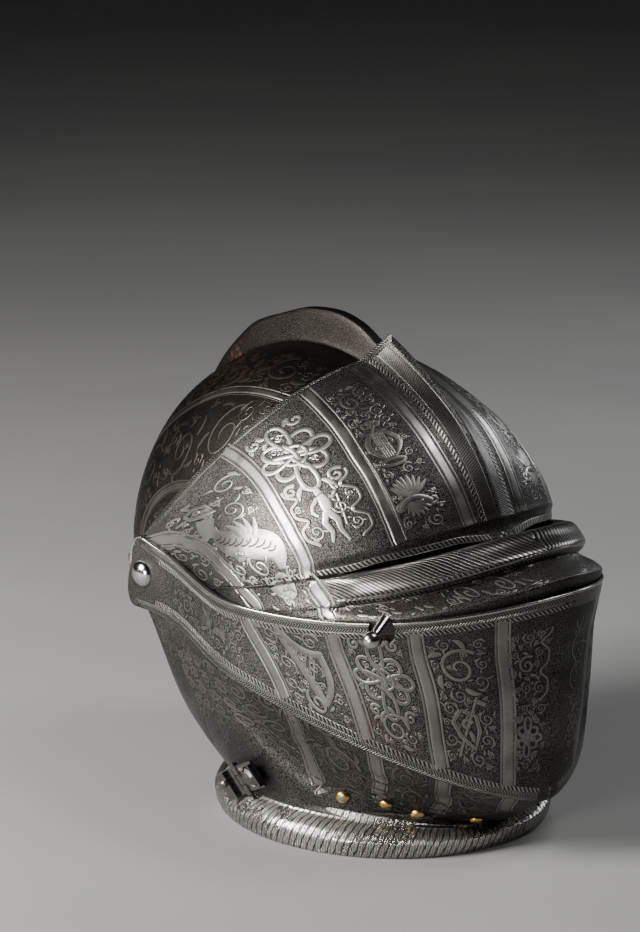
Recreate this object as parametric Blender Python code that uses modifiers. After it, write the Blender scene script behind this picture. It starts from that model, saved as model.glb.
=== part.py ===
"""Close helmet (armet) of etched steel, standing on its roped collar.

Four plates turn or sit on one pivot line through the temples: the skull with its comb,
the lower bevor, the upper bevor and the visor.  Lengths are metres, +Z is up, the face
looks along -Y and the wearer's right is -X.  Side-view places are written as a reach f
ahead of the pivot line and a height z above it, or as a radius and an angle about it.
"""

import math

import bmesh
import bpy
import numpy as np
from mathutils import Matrix, Vector

MM = 0.001

# ---------------------------------------------------------------- driving dimensions
PIVOT_HEIGHT = 133.0 * MM       # pivot line above the floor
PIVOT_BACK = 92.7 * MM          # pivot line behind the middle of the helmet
PLATE = 1.6 * MM                # thickness of every plate
LAYER = 2.7 * MM                # step from one plate's outer face to the next
TEMPLE = 93.0 * MM              # half width over the outermost plate at the temples
SWELL = (17.0 * MM, 90.0 * MM)  # plates swell from this far off the pivot line, over this
LOWER_SWELL = 25.0 * MM         # the lower bevor, under the others, swells from here
OUTER_LOBE = (22.0 * MM, 11.0 * MM)     # rounded end of the upper bevor: half height,
                                        # and reach behind the pivot line
INNER_LOBE = (16.5 * MM, 9.0 * MM)      # the same for the visor and the lower bevor
GAP = 0.3 * MM                  # clearance between pieces that touch

NECK_REACH = 103.0 * MM         # middle of the neck ahead of the pivot line
NECK_HALF_WIDTH = 84.0 * MM
NECK_HALF_LENGTH = 90.0 * MM
COLLAR_HEIGHT = 20.0 * MM       # height of COLLAR_RIM's crease, before it dips in front
SEAM_ANGLE = -72.0              # the plane where the collar's halves meet, in degrees
SKULL_FRONT = 14.0 * MM         # front edge of the skull ahead of the pivot line
COLLAR_EQUATOR = 9.0 * MM       # height of the rim's widest place, the same all round
COLLAR_TUCK = 0.9 * MM          # extra room under the rim where it is squat
COLLAR_GAP = 0.8 * MM           # slot between the collar's halves
COLLAR_LAP_TOP = 68.0 * MM      # below this height the skull stops at the seam

SHANK = 3.0 * MM                # radius of the pivot rivets' shanks
DOME = (8.0 * MM, 5.0 * MM)     # radius and height of their domed heads
WASHER = (6.0 * MM, 1.5 * MM)   # radius and thickness of their washers inside

# The lifting peg on the visor and the notch in the upper bevor below it.
PEG_FOOT = (-82.6 * MM, 189.8 * MM, 12.5 * MM)  # across, ahead of and above the pivot line
PEG_WAY = (-0.87, 0.26, -0.41)                  # the same way round
PEG_LENGTH = 17.0 * MM          # foot to the middle of the ball
PEG_BALL = 4.9 * MM
PEG_STEM = (3.6 * MM, 2.1 * MM)         # radius at the foot and under the ball
NOTCH_FLOOR = (-81.8 * MM, 186.2 * MM, -2.5 * MM)
NOTCH_RADIUS = 7.0 * MM

# Brass caps of the lining rivets on each side: (angle of their row, share of the way from
# the pivot line to the collar).
LINING_RIVETS = ((-35.6, 0.885), (-32.9, 0.905), (-32.4, 0.955), (-30.8, 0.982))
CAP = (4.0 * MM, 2.2 * MM)      # radius and height of a cap

# The latch on the right of the neck: hinge line, leaf and fixed plate.
LATCH_TOP = (-93.2 * MM, 77.2 * MM, -95.3 * MM)     # ends of the hinge barrel
LATCH_FOOT = (-87.6 * MM, 86.8 * MM, -111.9 * MM)
LATCH_FACE = (-0.95, -0.34, 0.20)       # outward, to be squared to the barrel
KNUCKLE = 2.5 * MM              # radius of the barrel
LATCH_PIN = 1.0 * MM
LATCH_BEND = 18.0               # fixed plate's bend from the leaf's plane, in degrees
FIXED_REACH = 14.0 * MM         # fixed plate: reach from the hinge line, thickness
FIXED_PLATE = 1.8 * MM
STEP_START = 8.0 * MM           # the step along its far edge begins here
STEP_HEIGHT = 3.4 * MM          # top of the step, and of the leaf's turned-up lip
KNOB = (2.6 * MM, 2.0 * MM)     # radius and height of the knob on the step
LEAF_REACH = 22.0 * MM
LEAF_WIDTH = 17.0 * MM
LEAF_START = 1.2 * MM           # both plates begin this far from the hinge line
LIP_DEPTH = 1.6 * MM
BOSS = (6.6 * MM, 4.4 * MM)     # radius and height of the domed boss on the leaf
BOSS_PLACE = 12.5 * MM          # its middle, from the hinge line

# Drop of the neck line below the pivot line: (ahead of the pivot line, drop), all mm.
NECK_DROP = ((13.0, 113.0), (125.0, 113.0), (166.0, 115.5), (193.0, 121.5))

# Outlines in the median plane: (angle in degrees, radius in mm) about the pivot line.
UPPER_BEVOR_RIDGE = ((-22.8, 253.4), (-14.6, 246.7), (-3.4, 242.8), (5.6, 250.0))
LOWER_BEVOR_RIDGE = ((-32.2, 228.1), (-30.0, 235.0), (-27.5, 241.0), (-25.0, 246.0), (-23.4, 249.3),
                     (-20.0, 246.0), (-15.0, 242.0))
VISOR_BASE = ((0.5, 238.0), (6.0, 236.0), (10.0, 216.0), (14.0, 203.5), (16.0, 200.5),
              (23.4, 196.3), (30.9, 190.3), (38.1, 181.2), (45.0, 172.0), (53.5, 160.5))
SKULL_CROWN = ((15.0, 194.5), (23.0, 191.0), (31.0, 185.0), (38.0, 177.0), (45.0, 168.0),
               (53.5, 157.0), (62.0, 148.0), (72.0, 137.0), (90.0, 118.0), (110.0, 101.0),
               (130.0, 83.5), (150.0, 71.0), (165.0, 65.5), (180.0, 63.0))
COMB_HEIGHT = ((40.0, 4.0), (53.5, 13.0), (60.0, 18.5), (67.0, 21.0), (74.0, 20.5), (82.0, 18.0),
               (90.0, 17.5), (98.0, 13.0), (105.0, 9.0), (114.0, 4.5), (126.0, 0.0))
KEEL_HEIGHT = ((14.0, 1.0), (16.0, 1.5), (23.4, 3.0), (30.9, 5.5), (38.1, 8.5), (45.0, 12.5),
               (53.5, 18.5))
KEEL_START = 14.2               # the keel runs up from this angle
KEEL_SPREAD = 13.0 * MM         # half width of its foot
COMB_SIDES = (2.6 * MM, 7.2 * MM)       # half widths at the comb's top and foot

# Places along a plate's rows: steps round the rounded end, then shares of the way from
# the pivot line to the median, the same for every plate so that their facets lie parallel.
LOBE_STEPS = 4
SHARES = (0.0, 0.06, 0.12, 0.19, 0.26, 0.34, 0.43, 0.54, 0.65, 0.74, 0.81, 0.87, 0.92, 0.96,
          0.985, 1.0)

# Sections across the helmet: (angle, greatest half width in mm, fullness, roundness).
UPPER_BEVOR_SIDE = ((-22.8, 113.0, 3.4, 1.5), (5.6, 114.0, 3.4, 1.5))
LOWER_BEVOR_SIDE = ((-72.0, 92.5, 3.2, 1.0), (-45.0, 99.0, 3.1, 1.0), (-30.4, 107.0, 3.0, 1.25),
                    (-23.0, 108.0, 3.3, 1.45), (-15.0, 108.0, 3.3, 1.5))
VISOR_SIDE = ((0.5, 109.8, 3.4, 1.5), (7.0, 109.8, 3.4, 1.5), (11.0, 109.5, 3.45, 1.8),
              (16.0, 109.0, 3.5, 2.1), (30.0, 102.0, 3.1, 2.05), (42.0, 95.0, 2.8, 2.0),
              (53.5, 89.5, 2.55, 2.0))
SKULL_SIDE = ((15.0, 98.0, 3.0, 2.0), (30.0, 94.0, 2.8, 2.0), (53.5, 86.5, 2.55, 2.0),
              (90.0, 84.9, 2.0, 2.0), (180.0, 84.9, 1.9, 2.0))

# The visor's rows from its hidden lower edge up to its rear edge:
# (angle at the ridge, angle at the sides, relief at the ridge in mm)
VISOR_ROWS = (
    (0.5, -0.8, 0.5),           # lower edge, hidden in the upper bevor
    (5.6, 2.9, 9.5),            # foot of the crest
    (7.4, 4.6, 13.0),           # crest
    (7.9, 5.3, 10.0),
    (9.5, 7.2, -4.5),           # foot of the roll
    (10.0, 7.8, -2.0),
    (11.6, 9.2, 4.5),           # face of the roll
    (13.0, 10.4, 8.5),          # top of the roll
    (13.3, 10.9, 7.0),
    (12.9, 11.3, 0.0),          # shelf behind the roll
    (12.4, 11.4, -7.0),         # lower lip of the sights
    (14.4, 13.1, -5.0),         # upper lip of the sights
    (16.0, 15.0, -1.0),
    (19.5, 19.0, 0.0),
    (23.4, 23.2, 0.0),
    (27.5, 27.5, 0.0),
    (32.0, 32.0, 0.0),
    (37.0, 37.0, 0.0),
    (42.5, 42.5, 0.0),
    (48.0, 48.0, 0.0),
    (53.5, 53.5, 0.0),          # rear edge
)
SIGHT_ROW = 10                  # the sights open between this row and the next
SIGHT_INNER = 5.0 * MM          # half of the bridge between the sights
SIGHT_OUTER = 80.5 * MM         # outer ends of the sights
RELIEF_FULL = 78.0 * MM         # the roll and crest are full out to this half width
RELIEF_END = 103.0 * MM         # and have faded into the plate here

# The collar's rim, outer skin then inner skin: (distance out of the neck line, height) in mm.
COLLAR_RIM = ((-0.8, 24.5), (0.4, 19.6), (4.4, 17.4), (8.6, 13.8), (10.5, 9.0), (9.9, 4.0),
              (7.6, 0.0), (3.2, 0.0), (3.2, 1.7), (6.9, 1.7), (8.7, 8.0), (6.8, 13.0),
              (3.2, 15.8), (-1.2, 17.6), (-2.8, 24.5))

# The skull below the pivot line, in level sections:
# (height, greatest half width, middle ahead of the pivot line, half length), all mm.
SKULL_NAPE = ((0.0, 84.9, 0.0, 63.0), (-22.0, 84.2, 18.0, 69.5), (-45.0, 85.4, 42.0, 76.0),
              (-65.0, 86.8, 61.0, 80.0), (-85.0, 86.0, 79.0, 84.0), (-100.0, 84.5, 93.0, 87.5),
              (-112.0, 83.2, 102.0, 89.3), (-115.0, 83.0, 103.0, 89.3))

BODY_COLORS = {
    "skull": ((0.060, 0.055, 0.052), 0.38, 0.9),
    "plate": ((0.130, 0.125, 0.120), 0.34, 0.9),
    "bright": ((0.420, 0.415, 0.400), 0.20, 1.0),
    "brass": ((0.560, 0.370, 0.090), 0.30, 1.0),
}


# ---------------------------------------------------------------- numbers along curves
def along(table, at, column=1):
    """Read one column of a short table at any place, on a smooth curve that never
    overshoots its points (cubic steps with matched slopes)."""
    keys = np.array([row[0] for row in table], dtype=float)
    values = np.array([row[column] for row in table], dtype=float)
    at = np.clip(np.asarray(at, dtype=float), keys[0], keys[-1])
    steps = np.diff(keys)
    rates = np.diff(values) / steps
    slopes = np.zeros_like(values)
    slopes[0] = rates[0]
    slopes[-1] = rates[-1]
    same_way = rates[:-1] * rates[1:] > 0.0
    sums = np.where(same_way, rates[:-1] + rates[1:], 1.0)
    slopes[1:-1] = np.where(same_way, 2.0 * rates[:-1] * rates[1:] / sums, 0.0)
    place = np.clip(np.searchsorted(keys, at, side="right") - 1, 0, len(keys) - 2)
    t = (at - keys[place]) / steps[place]
    low = (1.0 + 2.0 * t) * (1.0 - t) ** 2 * values[place]
    high = t * t * (3.0 - 2.0 * t) * values[place + 1]
    lean_low = t * (1.0 - t) ** 2 * steps[place] * slopes[place]
    lean_high = t * t * (t - 1.0) * steps[place] * slopes[place + 1]
    return low + high + lean_low + lean_high


def ease(value, start, end):
    """0 before start, 1 after end, and a smooth step between."""
    t = np.clip((value - start) / (end - start), 0.0, 1.0)
    return t * t * (3.0 - 2.0 * t)


def neck_drop(reach):
    """Drop of the neck line at a reach ahead of the pivot line."""
    return along(NECK_DROP, reach / MM) * MM


def neck_end(angle):
    """Where the half-plane at this angle meets the neck line: (half width, radius).
    Ahead of the neck's front the section closes on the median plane instead."""
    down = np.radians(np.minimum(angle, -20.0))
    drop = neck_drop(0.0)
    for _ in range(12):
        drop = neck_drop(drop / np.tan(-down))
    share = np.clip((drop / np.tan(-down) - NECK_REACH) / NECK_HALF_LENGTH, -1.0, 1.0)
    width = NECK_HALF_WIDTH * np.sqrt(1.0 - share ** 2)
    return width, drop / np.sin(-down)


def half_width(angle, share, row_radius, temple, side, end=0.0, swell_from=SWELL[0]):
    """Half width of a plate at a share of the way from the pivot line to the median.
    It is flat at the temple, swells to the greatest width, then closes on a
    superellipse to its end width."""
    widest = along(side, angle, 1) * MM
    fullness = along(side, angle, 2)
    roundness = along(side, angle, 3)
    grown = ease(share * row_radius, swell_from, swell_from + SWELL[1])
    swell = temple + (widest - temple) * grown
    closing = np.clip(1.0 - share ** fullness, 0.0, 1.0) ** (1.0 / roundness)
    return end + (swell - end) * closing


# ---------------------------------------------------------------- plates as grids
def strap_grid(side_angles, ridge_angles, row_radii, lobe_size, hold):
    """Side-view places (f, z) of a plate that fans out from a rounded end on the pivot
    line.  Each row has an angle at the sides, an angle at the ridge and a radius there.
    It starts beside the pivot line, as far off as its place across the rounded end, and
    that offset dies away towards the median, the faster the greater hold is.  Returns f,
    z, the fan angle and the share of the way to the median, as rows by columns."""
    side_angles = np.asarray(side_angles, dtype=float)
    ridge_angles = np.asarray(ridge_angles, dtype=float)
    row_radii = np.asarray(row_radii, dtype=float)[:, None]
    lobe = -np.cos(np.linspace(0.0, 0.5 * math.pi, LOBE_STEPS, endpoint=False))
    face = np.array(SHARES)
    half_height, behind = lobe_size
    low = side_angles.min()
    high = side_angles.max()
    middle = math.radians(0.5 * (low + high))
    across = (2.0 * (side_angles - low) / (high - low) - 1.0)[:, None]
    back = behind * np.concatenate([lobe, 0.0 * face])[None, :]
    share = np.concatenate([0.0 * lobe, face])[None, :]
    spread = np.concatenate([np.sqrt(1.0 - lobe ** 2), (1.0 - face) ** hold])[None, :]
    lean = np.radians(side_angles)[:, None]
    lift = (ridge_angles - side_angles)[:, None]
    fan = side_angles[:, None] + lift * share ** 5
    turn = np.radians(fan)
    f = back * math.cos(middle) - half_height * across * spread * np.sin(lean)
    z = back * math.sin(middle) + half_height * across * spread * np.cos(lean)
    f = f + share * row_radii * np.cos(turn)
    z = z + share * row_radii * np.sin(turn)
    return f, z, fan, share * np.ones_like(f)


def both_sides(x, f, z):
    """Mirror rows that run from the temple to the median into whole rows, and turn them
    into world points."""
    x = np.concatenate([-x, x[:, -2::-1]], axis=1)
    f = np.concatenate([f, f[:, -2::-1]], axis=1)
    z = np.concatenate([z, z[:, -2::-1]], axis=1)
    return np.stack([x, PIVOT_BACK - f, PIVOT_HEIGHT + z], axis=-1)


def grid_faces(rows, columns, skip=None):
    """Four-sided faces of a grid, leaving out those that skip(row, column) names."""
    faces = []
    for row in range(rows - 1):
        for column in range(columns - 1):
            if skip is not None and skip(row, column):
                continue
            corner = row * columns + column
            faces.append((corner, corner + 1, corner + columns + 1, corner + columns))
    return faces


# ---------------------------------------------------------------- Blender helpers
def clear_scene():
    for thing in list(bpy.data.objects):
        bpy.data.objects.remove(thing, do_unlink=True)
    for group in list(bpy.data.collections):
        bpy.data.collections.remove(group)


def collection(name):
    group = bpy.data.collections.new(name)
    bpy.context.scene.collection.children.link(group)
    return group


def material(name, finish):
    color, roughness, metallic = BODY_COLORS[finish]
    made = bpy.data.materials.new(name)
    made.use_nodes = True
    shader = made.node_tree.nodes["Principled BSDF"]
    shader.inputs["Base Color"].default_value = (*color, 1.0)
    shader.inputs["Roughness"].default_value = roughness
    shader.inputs["Metallic"].default_value = metallic
    return made


def new_object(name, mesh, group, finish=None):
    made = bpy.data.objects.new(name, mesh)
    group.objects.link(made)
    if finish is not None:
        mesh.materials.append(material(name, finish))
    return made


def surface(name, points, group, finish, skip=None):
    """An open sheet from a grid of world points, facing away from the helmet's middle.
    Its origin lies on the pivot line."""
    rows, columns = points.shape[:2]
    pivot = np.array((0.0, PIVOT_BACK, PIVOT_HEIGHT))
    mesh = bpy.data.meshes.new(name)
    local = (points - pivot).reshape(-1, 3).tolist()
    mesh.from_pydata(local, [], grid_faces(rows, columns, skip))
    shape = bmesh.new()
    shape.from_mesh(mesh)
    bmesh.ops.remove_doubles(shape, verts=shape.verts, dist=0.00002)
    bmesh.ops.delete(shape, geom=[v for v in shape.verts if not v.link_faces], context="VERTS")
    bmesh.ops.recalc_face_normals(shape, faces=shape.faces)
    middle = Vector((0.0, -PIVOT_BACK, 0.0))
    outward = sum((face.calc_center_median() - middle).dot(face.normal) * face.calc_area()
                  for face in shape.faces)
    if outward < 0.0:
        bmesh.ops.reverse_faces(shape, faces=shape.faces)
    shape.to_mesh(mesh)
    shape.free()
    made = new_object(name, mesh, group, finish)
    made.location = pivot
    mesh.shade_smooth()
    mesh.set_sharp_from_angle(angle=math.radians(35.0))
    return made


def thicken(thing, depth=PLATE):
    wall = thing.modifiers.new("wall", "SOLIDIFY")
    wall.thickness = depth
    wall.offset = -1.0
    thing.modifiers.new("facets", "TRIANGULATE")
    return thing


def cut(thing, other, operation="DIFFERENCE"):
    step = thing.modifiers.new(operation.lower(), "BOOLEAN")
    step.operation = operation
    step.solver = "EXACT"
    step.object = other
    return thing


def cutter(thing):
    thing.hide_render = True
    thing.display_type = "WIRE"
    return thing


def turned(name, profile, group, finish, steps=24):
    """A turned piece about its own Z axis from (radius, height) points, top to bottom."""
    mesh = bpy.data.meshes.new(name)
    points = [(radius, 0.0, height) for radius, height in profile]
    mesh.from_pydata(points, [(n, n + 1) for n in range(len(points) - 1)], [])
    made = new_object(name, mesh, group, finish)
    spin = made.modifiers.new("turn", "SCREW")
    spin.angle = 2.0 * math.pi
    spin.steps = steps
    spin.render_steps = steps
    spin.use_merge_vertices = True
    spin.merge_threshold = 0.00001
    spin.use_smooth_shade = True
    return made


def point_along(thing, place, direction):
    """Put a piece at a place with its own Z axis along a direction."""
    turn = Vector(direction).to_track_quat("Z", "Y").to_matrix().to_4x4()
    thing.matrix_world = Matrix.Translation(Vector(place)) @ turn
    return thing


def cylinder(name, place, direction, radius, length, group, sides=24):
    """A plain round bar centred on a place, its axis along a direction."""
    mesh = bpy.data.meshes.new(name)
    shape = bmesh.new()
    bmesh.ops.create_cone(shape, cap_ends=True, segments=sides, radius1=radius,
                          radius2=radius, depth=length)
    shape.to_mesh(mesh)
    shape.free()
    made = new_object(name, mesh, group)
    return point_along(made, place, direction)


def block(name, low, high, group):
    """A plain block between two corners."""
    mesh = bpy.data.meshes.new(name)
    shape = bmesh.new()
    bmesh.ops.create_cube(shape, size=1.0)
    middle = 0.5 * (Vector(low) + Vector(high))
    size = Vector(high) - Vector(low)
    bmesh.ops.scale(shape, vec=size, verts=shape.verts)
    bmesh.ops.translate(shape, vec=middle, verts=shape.verts)
    shape.to_mesh(mesh)
    shape.free()
    return new_object(name, mesh, group)


# ---------------------------------------------------------------- the plates' shapes
def upper_bevor_points():
    ridge = np.linspace(-22.8, 5.6, 7)
    side = np.linspace(-19.4, 2.4, 7)
    radii = along(UPPER_BEVOR_RIDGE, ridge) * MM
    f, z, fan, share = strap_grid(side, ridge, radii, OUTER_LOBE, 4.0)
    x = half_width(fan, share, radii[:, None], TEMPLE, UPPER_BEVOR_SIDE)
    return both_sides(x, f, z)


def visor_points():
    ridge = np.array([row[0] for row in VISOR_ROWS])
    side = np.array([row[1] for row in VISOR_ROWS])
    relief = np.array([row[2] for row in VISOR_ROWS]) * MM
    base = along(VISOR_BASE, side) * MM
    f, z, fan, share = strap_grid(side, ridge, base, INNER_LOBE, 1.0)
    x = half_width(fan, share, base[:, None], TEMPLE - LAYER, VISOR_SIDE)
    full = 1.0 - ease(x, RELIEF_FULL, RELIEF_END)
    full = full * ease(share, 0.45, 0.75)
    keel = along(KEEL_HEIGHT, fan) * MM * (fan > KEEL_START)
    keel = keel * np.clip(1.0 - x / KEEL_SPREAD, 0.0, 1.0) ** 1.4
    radius = np.hypot(f, z)
    grow = (radius + relief[:, None] * full + keel) / np.maximum(radius, MM)
    grow = np.where(share > 0.3, grow, 1.0)
    return both_sides(x, f * grow, z * grow)


def lower_bevor_points():
    chin = np.linspace(-16.0, -31.4, 6)
    turns = np.radians(np.linspace(0.0, 130.0, 12))
    reach = NECK_REACH + NECK_HALF_LENGTH * np.cos(turns)
    ring = -np.degrees(np.arctan2(neck_drop(reach), reach))
    angles = np.concatenate([chin, ring, [SEAM_ANGLE]])
    chin_radii = along(LOWER_BEVOR_RIDGE, chin) * MM
    end, ring_radii = neck_end(angles)
    radii = np.concatenate([chin_radii, ring_radii[len(chin):]])
    end[:len(chin)] = 0.0
    f, z, fan, share = strap_grid(angles, angles, radii, INNER_LOBE, 3.0)
    x = half_width(fan, share, radii[:, None], TEMPLE - 2.0 * LAYER, LOWER_BEVOR_SIDE,
                   end[:, None], LOWER_SWELL)
    return x, f, z


def skull_points():
    """Rows from the hidden brow edge over the crown to the back, then down the nape.
    Every row starts on the skull's front edge, a little ahead of the pivot line."""
    close = np.radians([86.3, 87.1, 87.9, 88.8, 90.0])
    columns = np.sin(np.concatenate([np.radians(np.linspace(0.0, 83.0, 9)), close]))[None, :]
    upper = np.array([15.0, 24, 33, 41, 49, 55, 61, 67, 74, 82, 90, 98, 106, 116, 127,
                      140, 155, 168, 180])
    crown = along(SKULL_CROWN, upper) * MM
    end_f = (crown * np.cos(np.radians(upper)))[:, None]
    end_z = (crown * np.sin(np.radians(upper)))[:, None]
    f = SKULL_FRONT + (end_f - SKULL_FRONT) * columns
    z = end_z * columns
    angle = np.degrees(np.arctan2(z, f))
    radius = np.hypot(f, z)
    crown_here = along(SKULL_CROWN, angle) * MM
    share = np.clip(radius / crown_here, 0.0, 1.0)
    share[:, -1] = 1.0
    temple = TEMPLE - 3.0 * LAYER
    x = half_width(angle, share, crown_here, temple, SKULL_SIDE, 0.0, LOWER_SWELL)
    comb = along(COMB_HEIGHT, angle) * MM * (1.0 - ease(x, *COMB_SIDES))
    grow = (radius + comb) / np.maximum(radius, MM)
    f = f * grow
    z = z * grow

    level = np.array([-12.0, -25, -38, -51, -64, -76, -87, -98, -107, -115])[:, None]
    widest = along(SKULL_NAPE[::-1], level, 1) * MM
    middle = along(SKULL_NAPE[::-1], level, 2) * MM
    length = along(SKULL_NAPE[::-1], level, 3) * MM
    start = SKULL_FRONT - level * MM / math.tan(math.radians(-SEAM_ANGLE))
    low_f = start + (middle - length - start) * columns
    behind = np.clip((middle - low_f) / length, 0.0, 1.0)
    low_x = widest * np.sqrt(1.0 - behind ** 1.9)
    low_z = level * MM * np.ones_like(low_f)
    return (np.concatenate([x, low_x]), np.concatenate([f, low_f]),
            np.concatenate([z, low_z]))


def lap_cutter(group):
    """What is taken off the skull's overlap, so that it clears the collar's front half."""
    wide = 0.2
    long = 0.3
    slab = block("collar_lap", (-wide, -long, -wide), (wide, long, COLLAR_LAP_TOP), group)
    cut(slab, seam_block("collar_lap_seam", True, group, 2.0 * COLLAR_GAP), "INTERSECT")
    return cutter(slab)


def collar_ring(name, group, steps=40):
    """The whole collar rim: its section carried round the neck line."""
    turns = (np.arange(steps) + 0.5)[:, None] * 2.0 * math.pi / steps
    normal_x = np.sin(turns) / NECK_HALF_WIDTH
    normal_f = np.cos(turns) / NECK_HALF_LENGTH
    size = np.hypot(normal_x, normal_f)
    out = np.array([point[0] for point in COLLAR_RIM])[None, :] * MM
    high = np.array([point[1] for point in COLLAR_RIM])[None, :] * MM
    dip = neck_drop(NECK_REACH + NECK_HALF_LENGTH * np.cos(turns)) - neck_drop(0.0)
    squat = 1.0 - dip / (COLLAR_HEIGHT - COLLAR_EQUATOR)
    inside = np.arange(len(COLLAR_RIM))[None, :] > COLLAR_RIM.index((7.6, 0.0))
    high = np.where(high > COLLAR_EQUATOR,
                    COLLAR_EQUATOR + (high - COLLAR_EQUATOR) * squat
                    - inside * (1.0 - squat) * COLLAR_TUCK, high)
    x = NECK_HALF_WIDTH * np.sin(turns) + out * normal_x / size
    f = NECK_REACH + NECK_HALF_LENGTH * np.cos(turns) + out * normal_f / size
    points = np.stack([x, PIVOT_BACK - f, high], axis=-1)
    count = len(COLLAR_RIM)
    faces = []
    for turn in range(steps):
        for place in range(count):
            here = turn * count
            there = (turn + 1) % steps * count
            after = (place + 1) % count
            faces.append((here + place, there + place, there + after, here + after))
    mesh = bpy.data.meshes.new(name)
    mesh.from_pydata(points.reshape(-1, 3).tolist(), [], faces)
    shape = bmesh.new()
    shape.from_mesh(mesh)
    bmesh.ops.triangulate(shape, faces=shape.faces)
    bmesh.ops.recalc_face_normals(shape, faces=shape.faces)
    shape.to_mesh(mesh)
    shape.free()
    return new_object(name, mesh, group)


def seam_block(name, front, group, slot=COLLAR_GAP):
    """A block that fills one side of the seam plane and half of the slot there."""
    size = 0.5
    mesh = bpy.data.meshes.new(name)
    shape = bmesh.new()
    bmesh.ops.create_cube(shape, size=size)
    shape.to_mesh(mesh)
    shape.free()
    made = new_object(name, mesh, group)
    turn = math.radians(-SEAM_ANGLE)
    ahead = Vector((0.0, -math.sin(turn), math.cos(turn)))
    side = 1.0 if front else -1.0
    place = Vector((0.0, PIVOT_BACK, PIVOT_HEIGHT))
    place = place + ahead * side * (0.5 * size - 0.5 * slot)
    level = Matrix.Rotation(turn - math.radians(90.0), 4, "X")
    made.matrix_world = Matrix.Translation(place) @ level
    return cutter(made)


# ---------------------------------------------------------------- small pieces
def world(place):
    """World point of (across, ahead of the pivot line, above it)."""
    return Vector((place[0], PIVOT_BACK - place[1], PIVOT_HEIGHT + place[2]))


def direction(way):
    """World direction of (across, ahead, up)."""
    return Vector((way[0], -way[1], way[2])).normalized()


def dome(radius, height, steps):
    """Profile of a dome from its top down to its rim."""
    turns = [0.5 * math.pi * step / steps for step in range(steps + 1)]
    return [(radius * math.sin(turn), height * math.cos(turn)) for turn in turns]


def pivot_rivet(name, side, parts):
    """Domed head outside, shank through all the plates, washer inside."""
    head = TEMPLE + 2.0 * GAP
    washer = TEMPLE - 3.0 * LAYER - PLATE - 7.0 * GAP
    profile = [(radius, head + up) for radius, up in dome(*DOME, 4)]
    profile += [(SHANK, head), (SHANK, washer), (WASHER[0], washer),
                (WASHER[0], washer - WASHER[1]), (0.0, washer - WASHER[1])]
    rivet = turned(name, profile, parts, "bright", 20)
    return point_along(rivet, (0.0, PIVOT_BACK, PIVOT_HEIGHT), (side, 0.0, 0.0))


def lifting_peg(parts):
    """A tapered stem with a ball, standing off the visor by the usual gap."""
    neck = PEG_LENGTH - 0.9 * PEG_BALL
    profile = []
    for step in range(7):
        turn = math.radians(154.0) * step / 6
        profile.append((PEG_BALL * math.sin(turn), PEG_LENGTH + PEG_BALL * math.cos(turn)))
    profile += [(PEG_STEM[1], neck - 1.5 * MM), (0.6 * PEG_STEM[0], 0.45 * neck),
                (PEG_STEM[0], 0.12 * neck), (PEG_STEM[0], 0.0), (0.0, 0.0)]
    peg = turned("lifting_peg", profile, parts, "bright", 16)
    return point_along(peg, world(PEG_FOOT), direction(PEG_WAY))


def notch_cutter(cutters):
    """A slot with a round floor, driven through the upper bevor's top edge."""
    deep = 12.0 * MM
    tall = 30.0 * MM
    outline = [(NOTCH_RADIUS * math.cos(turn), NOTCH_RADIUS * math.sin(turn))
               for turn in np.linspace(math.pi, 2.0 * math.pi, 9)]
    outline += [(NOTCH_RADIUS, tall), (-NOTCH_RADIUS, tall)]
    back = [(across, up, -deep) for across, up in outline]
    front = [(across, up, deep) for across, up in outline]
    count = len(outline)
    faces = [tuple(range(count))[::-1], tuple(range(count, 2 * count))]
    for place in range(count):
        after = (place + 1) % count
        faces.append((place, after, count + after, count + place))
    mesh = bpy.data.meshes.new("peg_notch")
    mesh.from_pydata(back + front, [], faces)
    slot = new_object("peg_notch", mesh, cutters)
    out = direction((-0.85, 0.51, 0.0))
    up = Vector((0.0, 0.0, 1.0))
    across = up.cross(out)
    axes = Matrix((across, up, out)).transposed().to_4x4()
    middle = world(NOTCH_FLOOR) + up * NOTCH_RADIUS
    slot.matrix_world = Matrix.Translation(middle) @ axes
    return cutter(slot)


def latch_frame():
    """Frame of the latch: X along the leaf towards the face, Y up the barrel, Z out of
    the plate, with its origin in the middle of the barrel.  Also the barrel's length."""
    top = world(LATCH_TOP)
    foot = world(LATCH_FOOT)
    up = (top - foot).normalized()
    out = direction(LATCH_FACE)
    out = (out - up * out.dot(up)).normalized()
    ahead = up.cross(out)
    axes = Matrix((ahead, up, out)).transposed().to_4x4()
    return Matrix.Translation(0.5 * (top + foot)) @ axes, (foot - top).length


def in_frame(thing, frame, other=None):
    thing.matrix_world = frame if other is None else frame @ other
    return thing


def tube_piece(name, frame, middle, length, radius, group):
    """A bar along the latch's barrel line."""
    bar = cylinder(name, (0.0, 0.0, 0.0), (0.0, 1.0, 0.0), radius, length, group, 16)
    bar.matrix_world = (frame @ Matrix.Translation(Vector((0.0, middle, 0.0)))
                        @ bar.matrix_world)
    return bar


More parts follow.
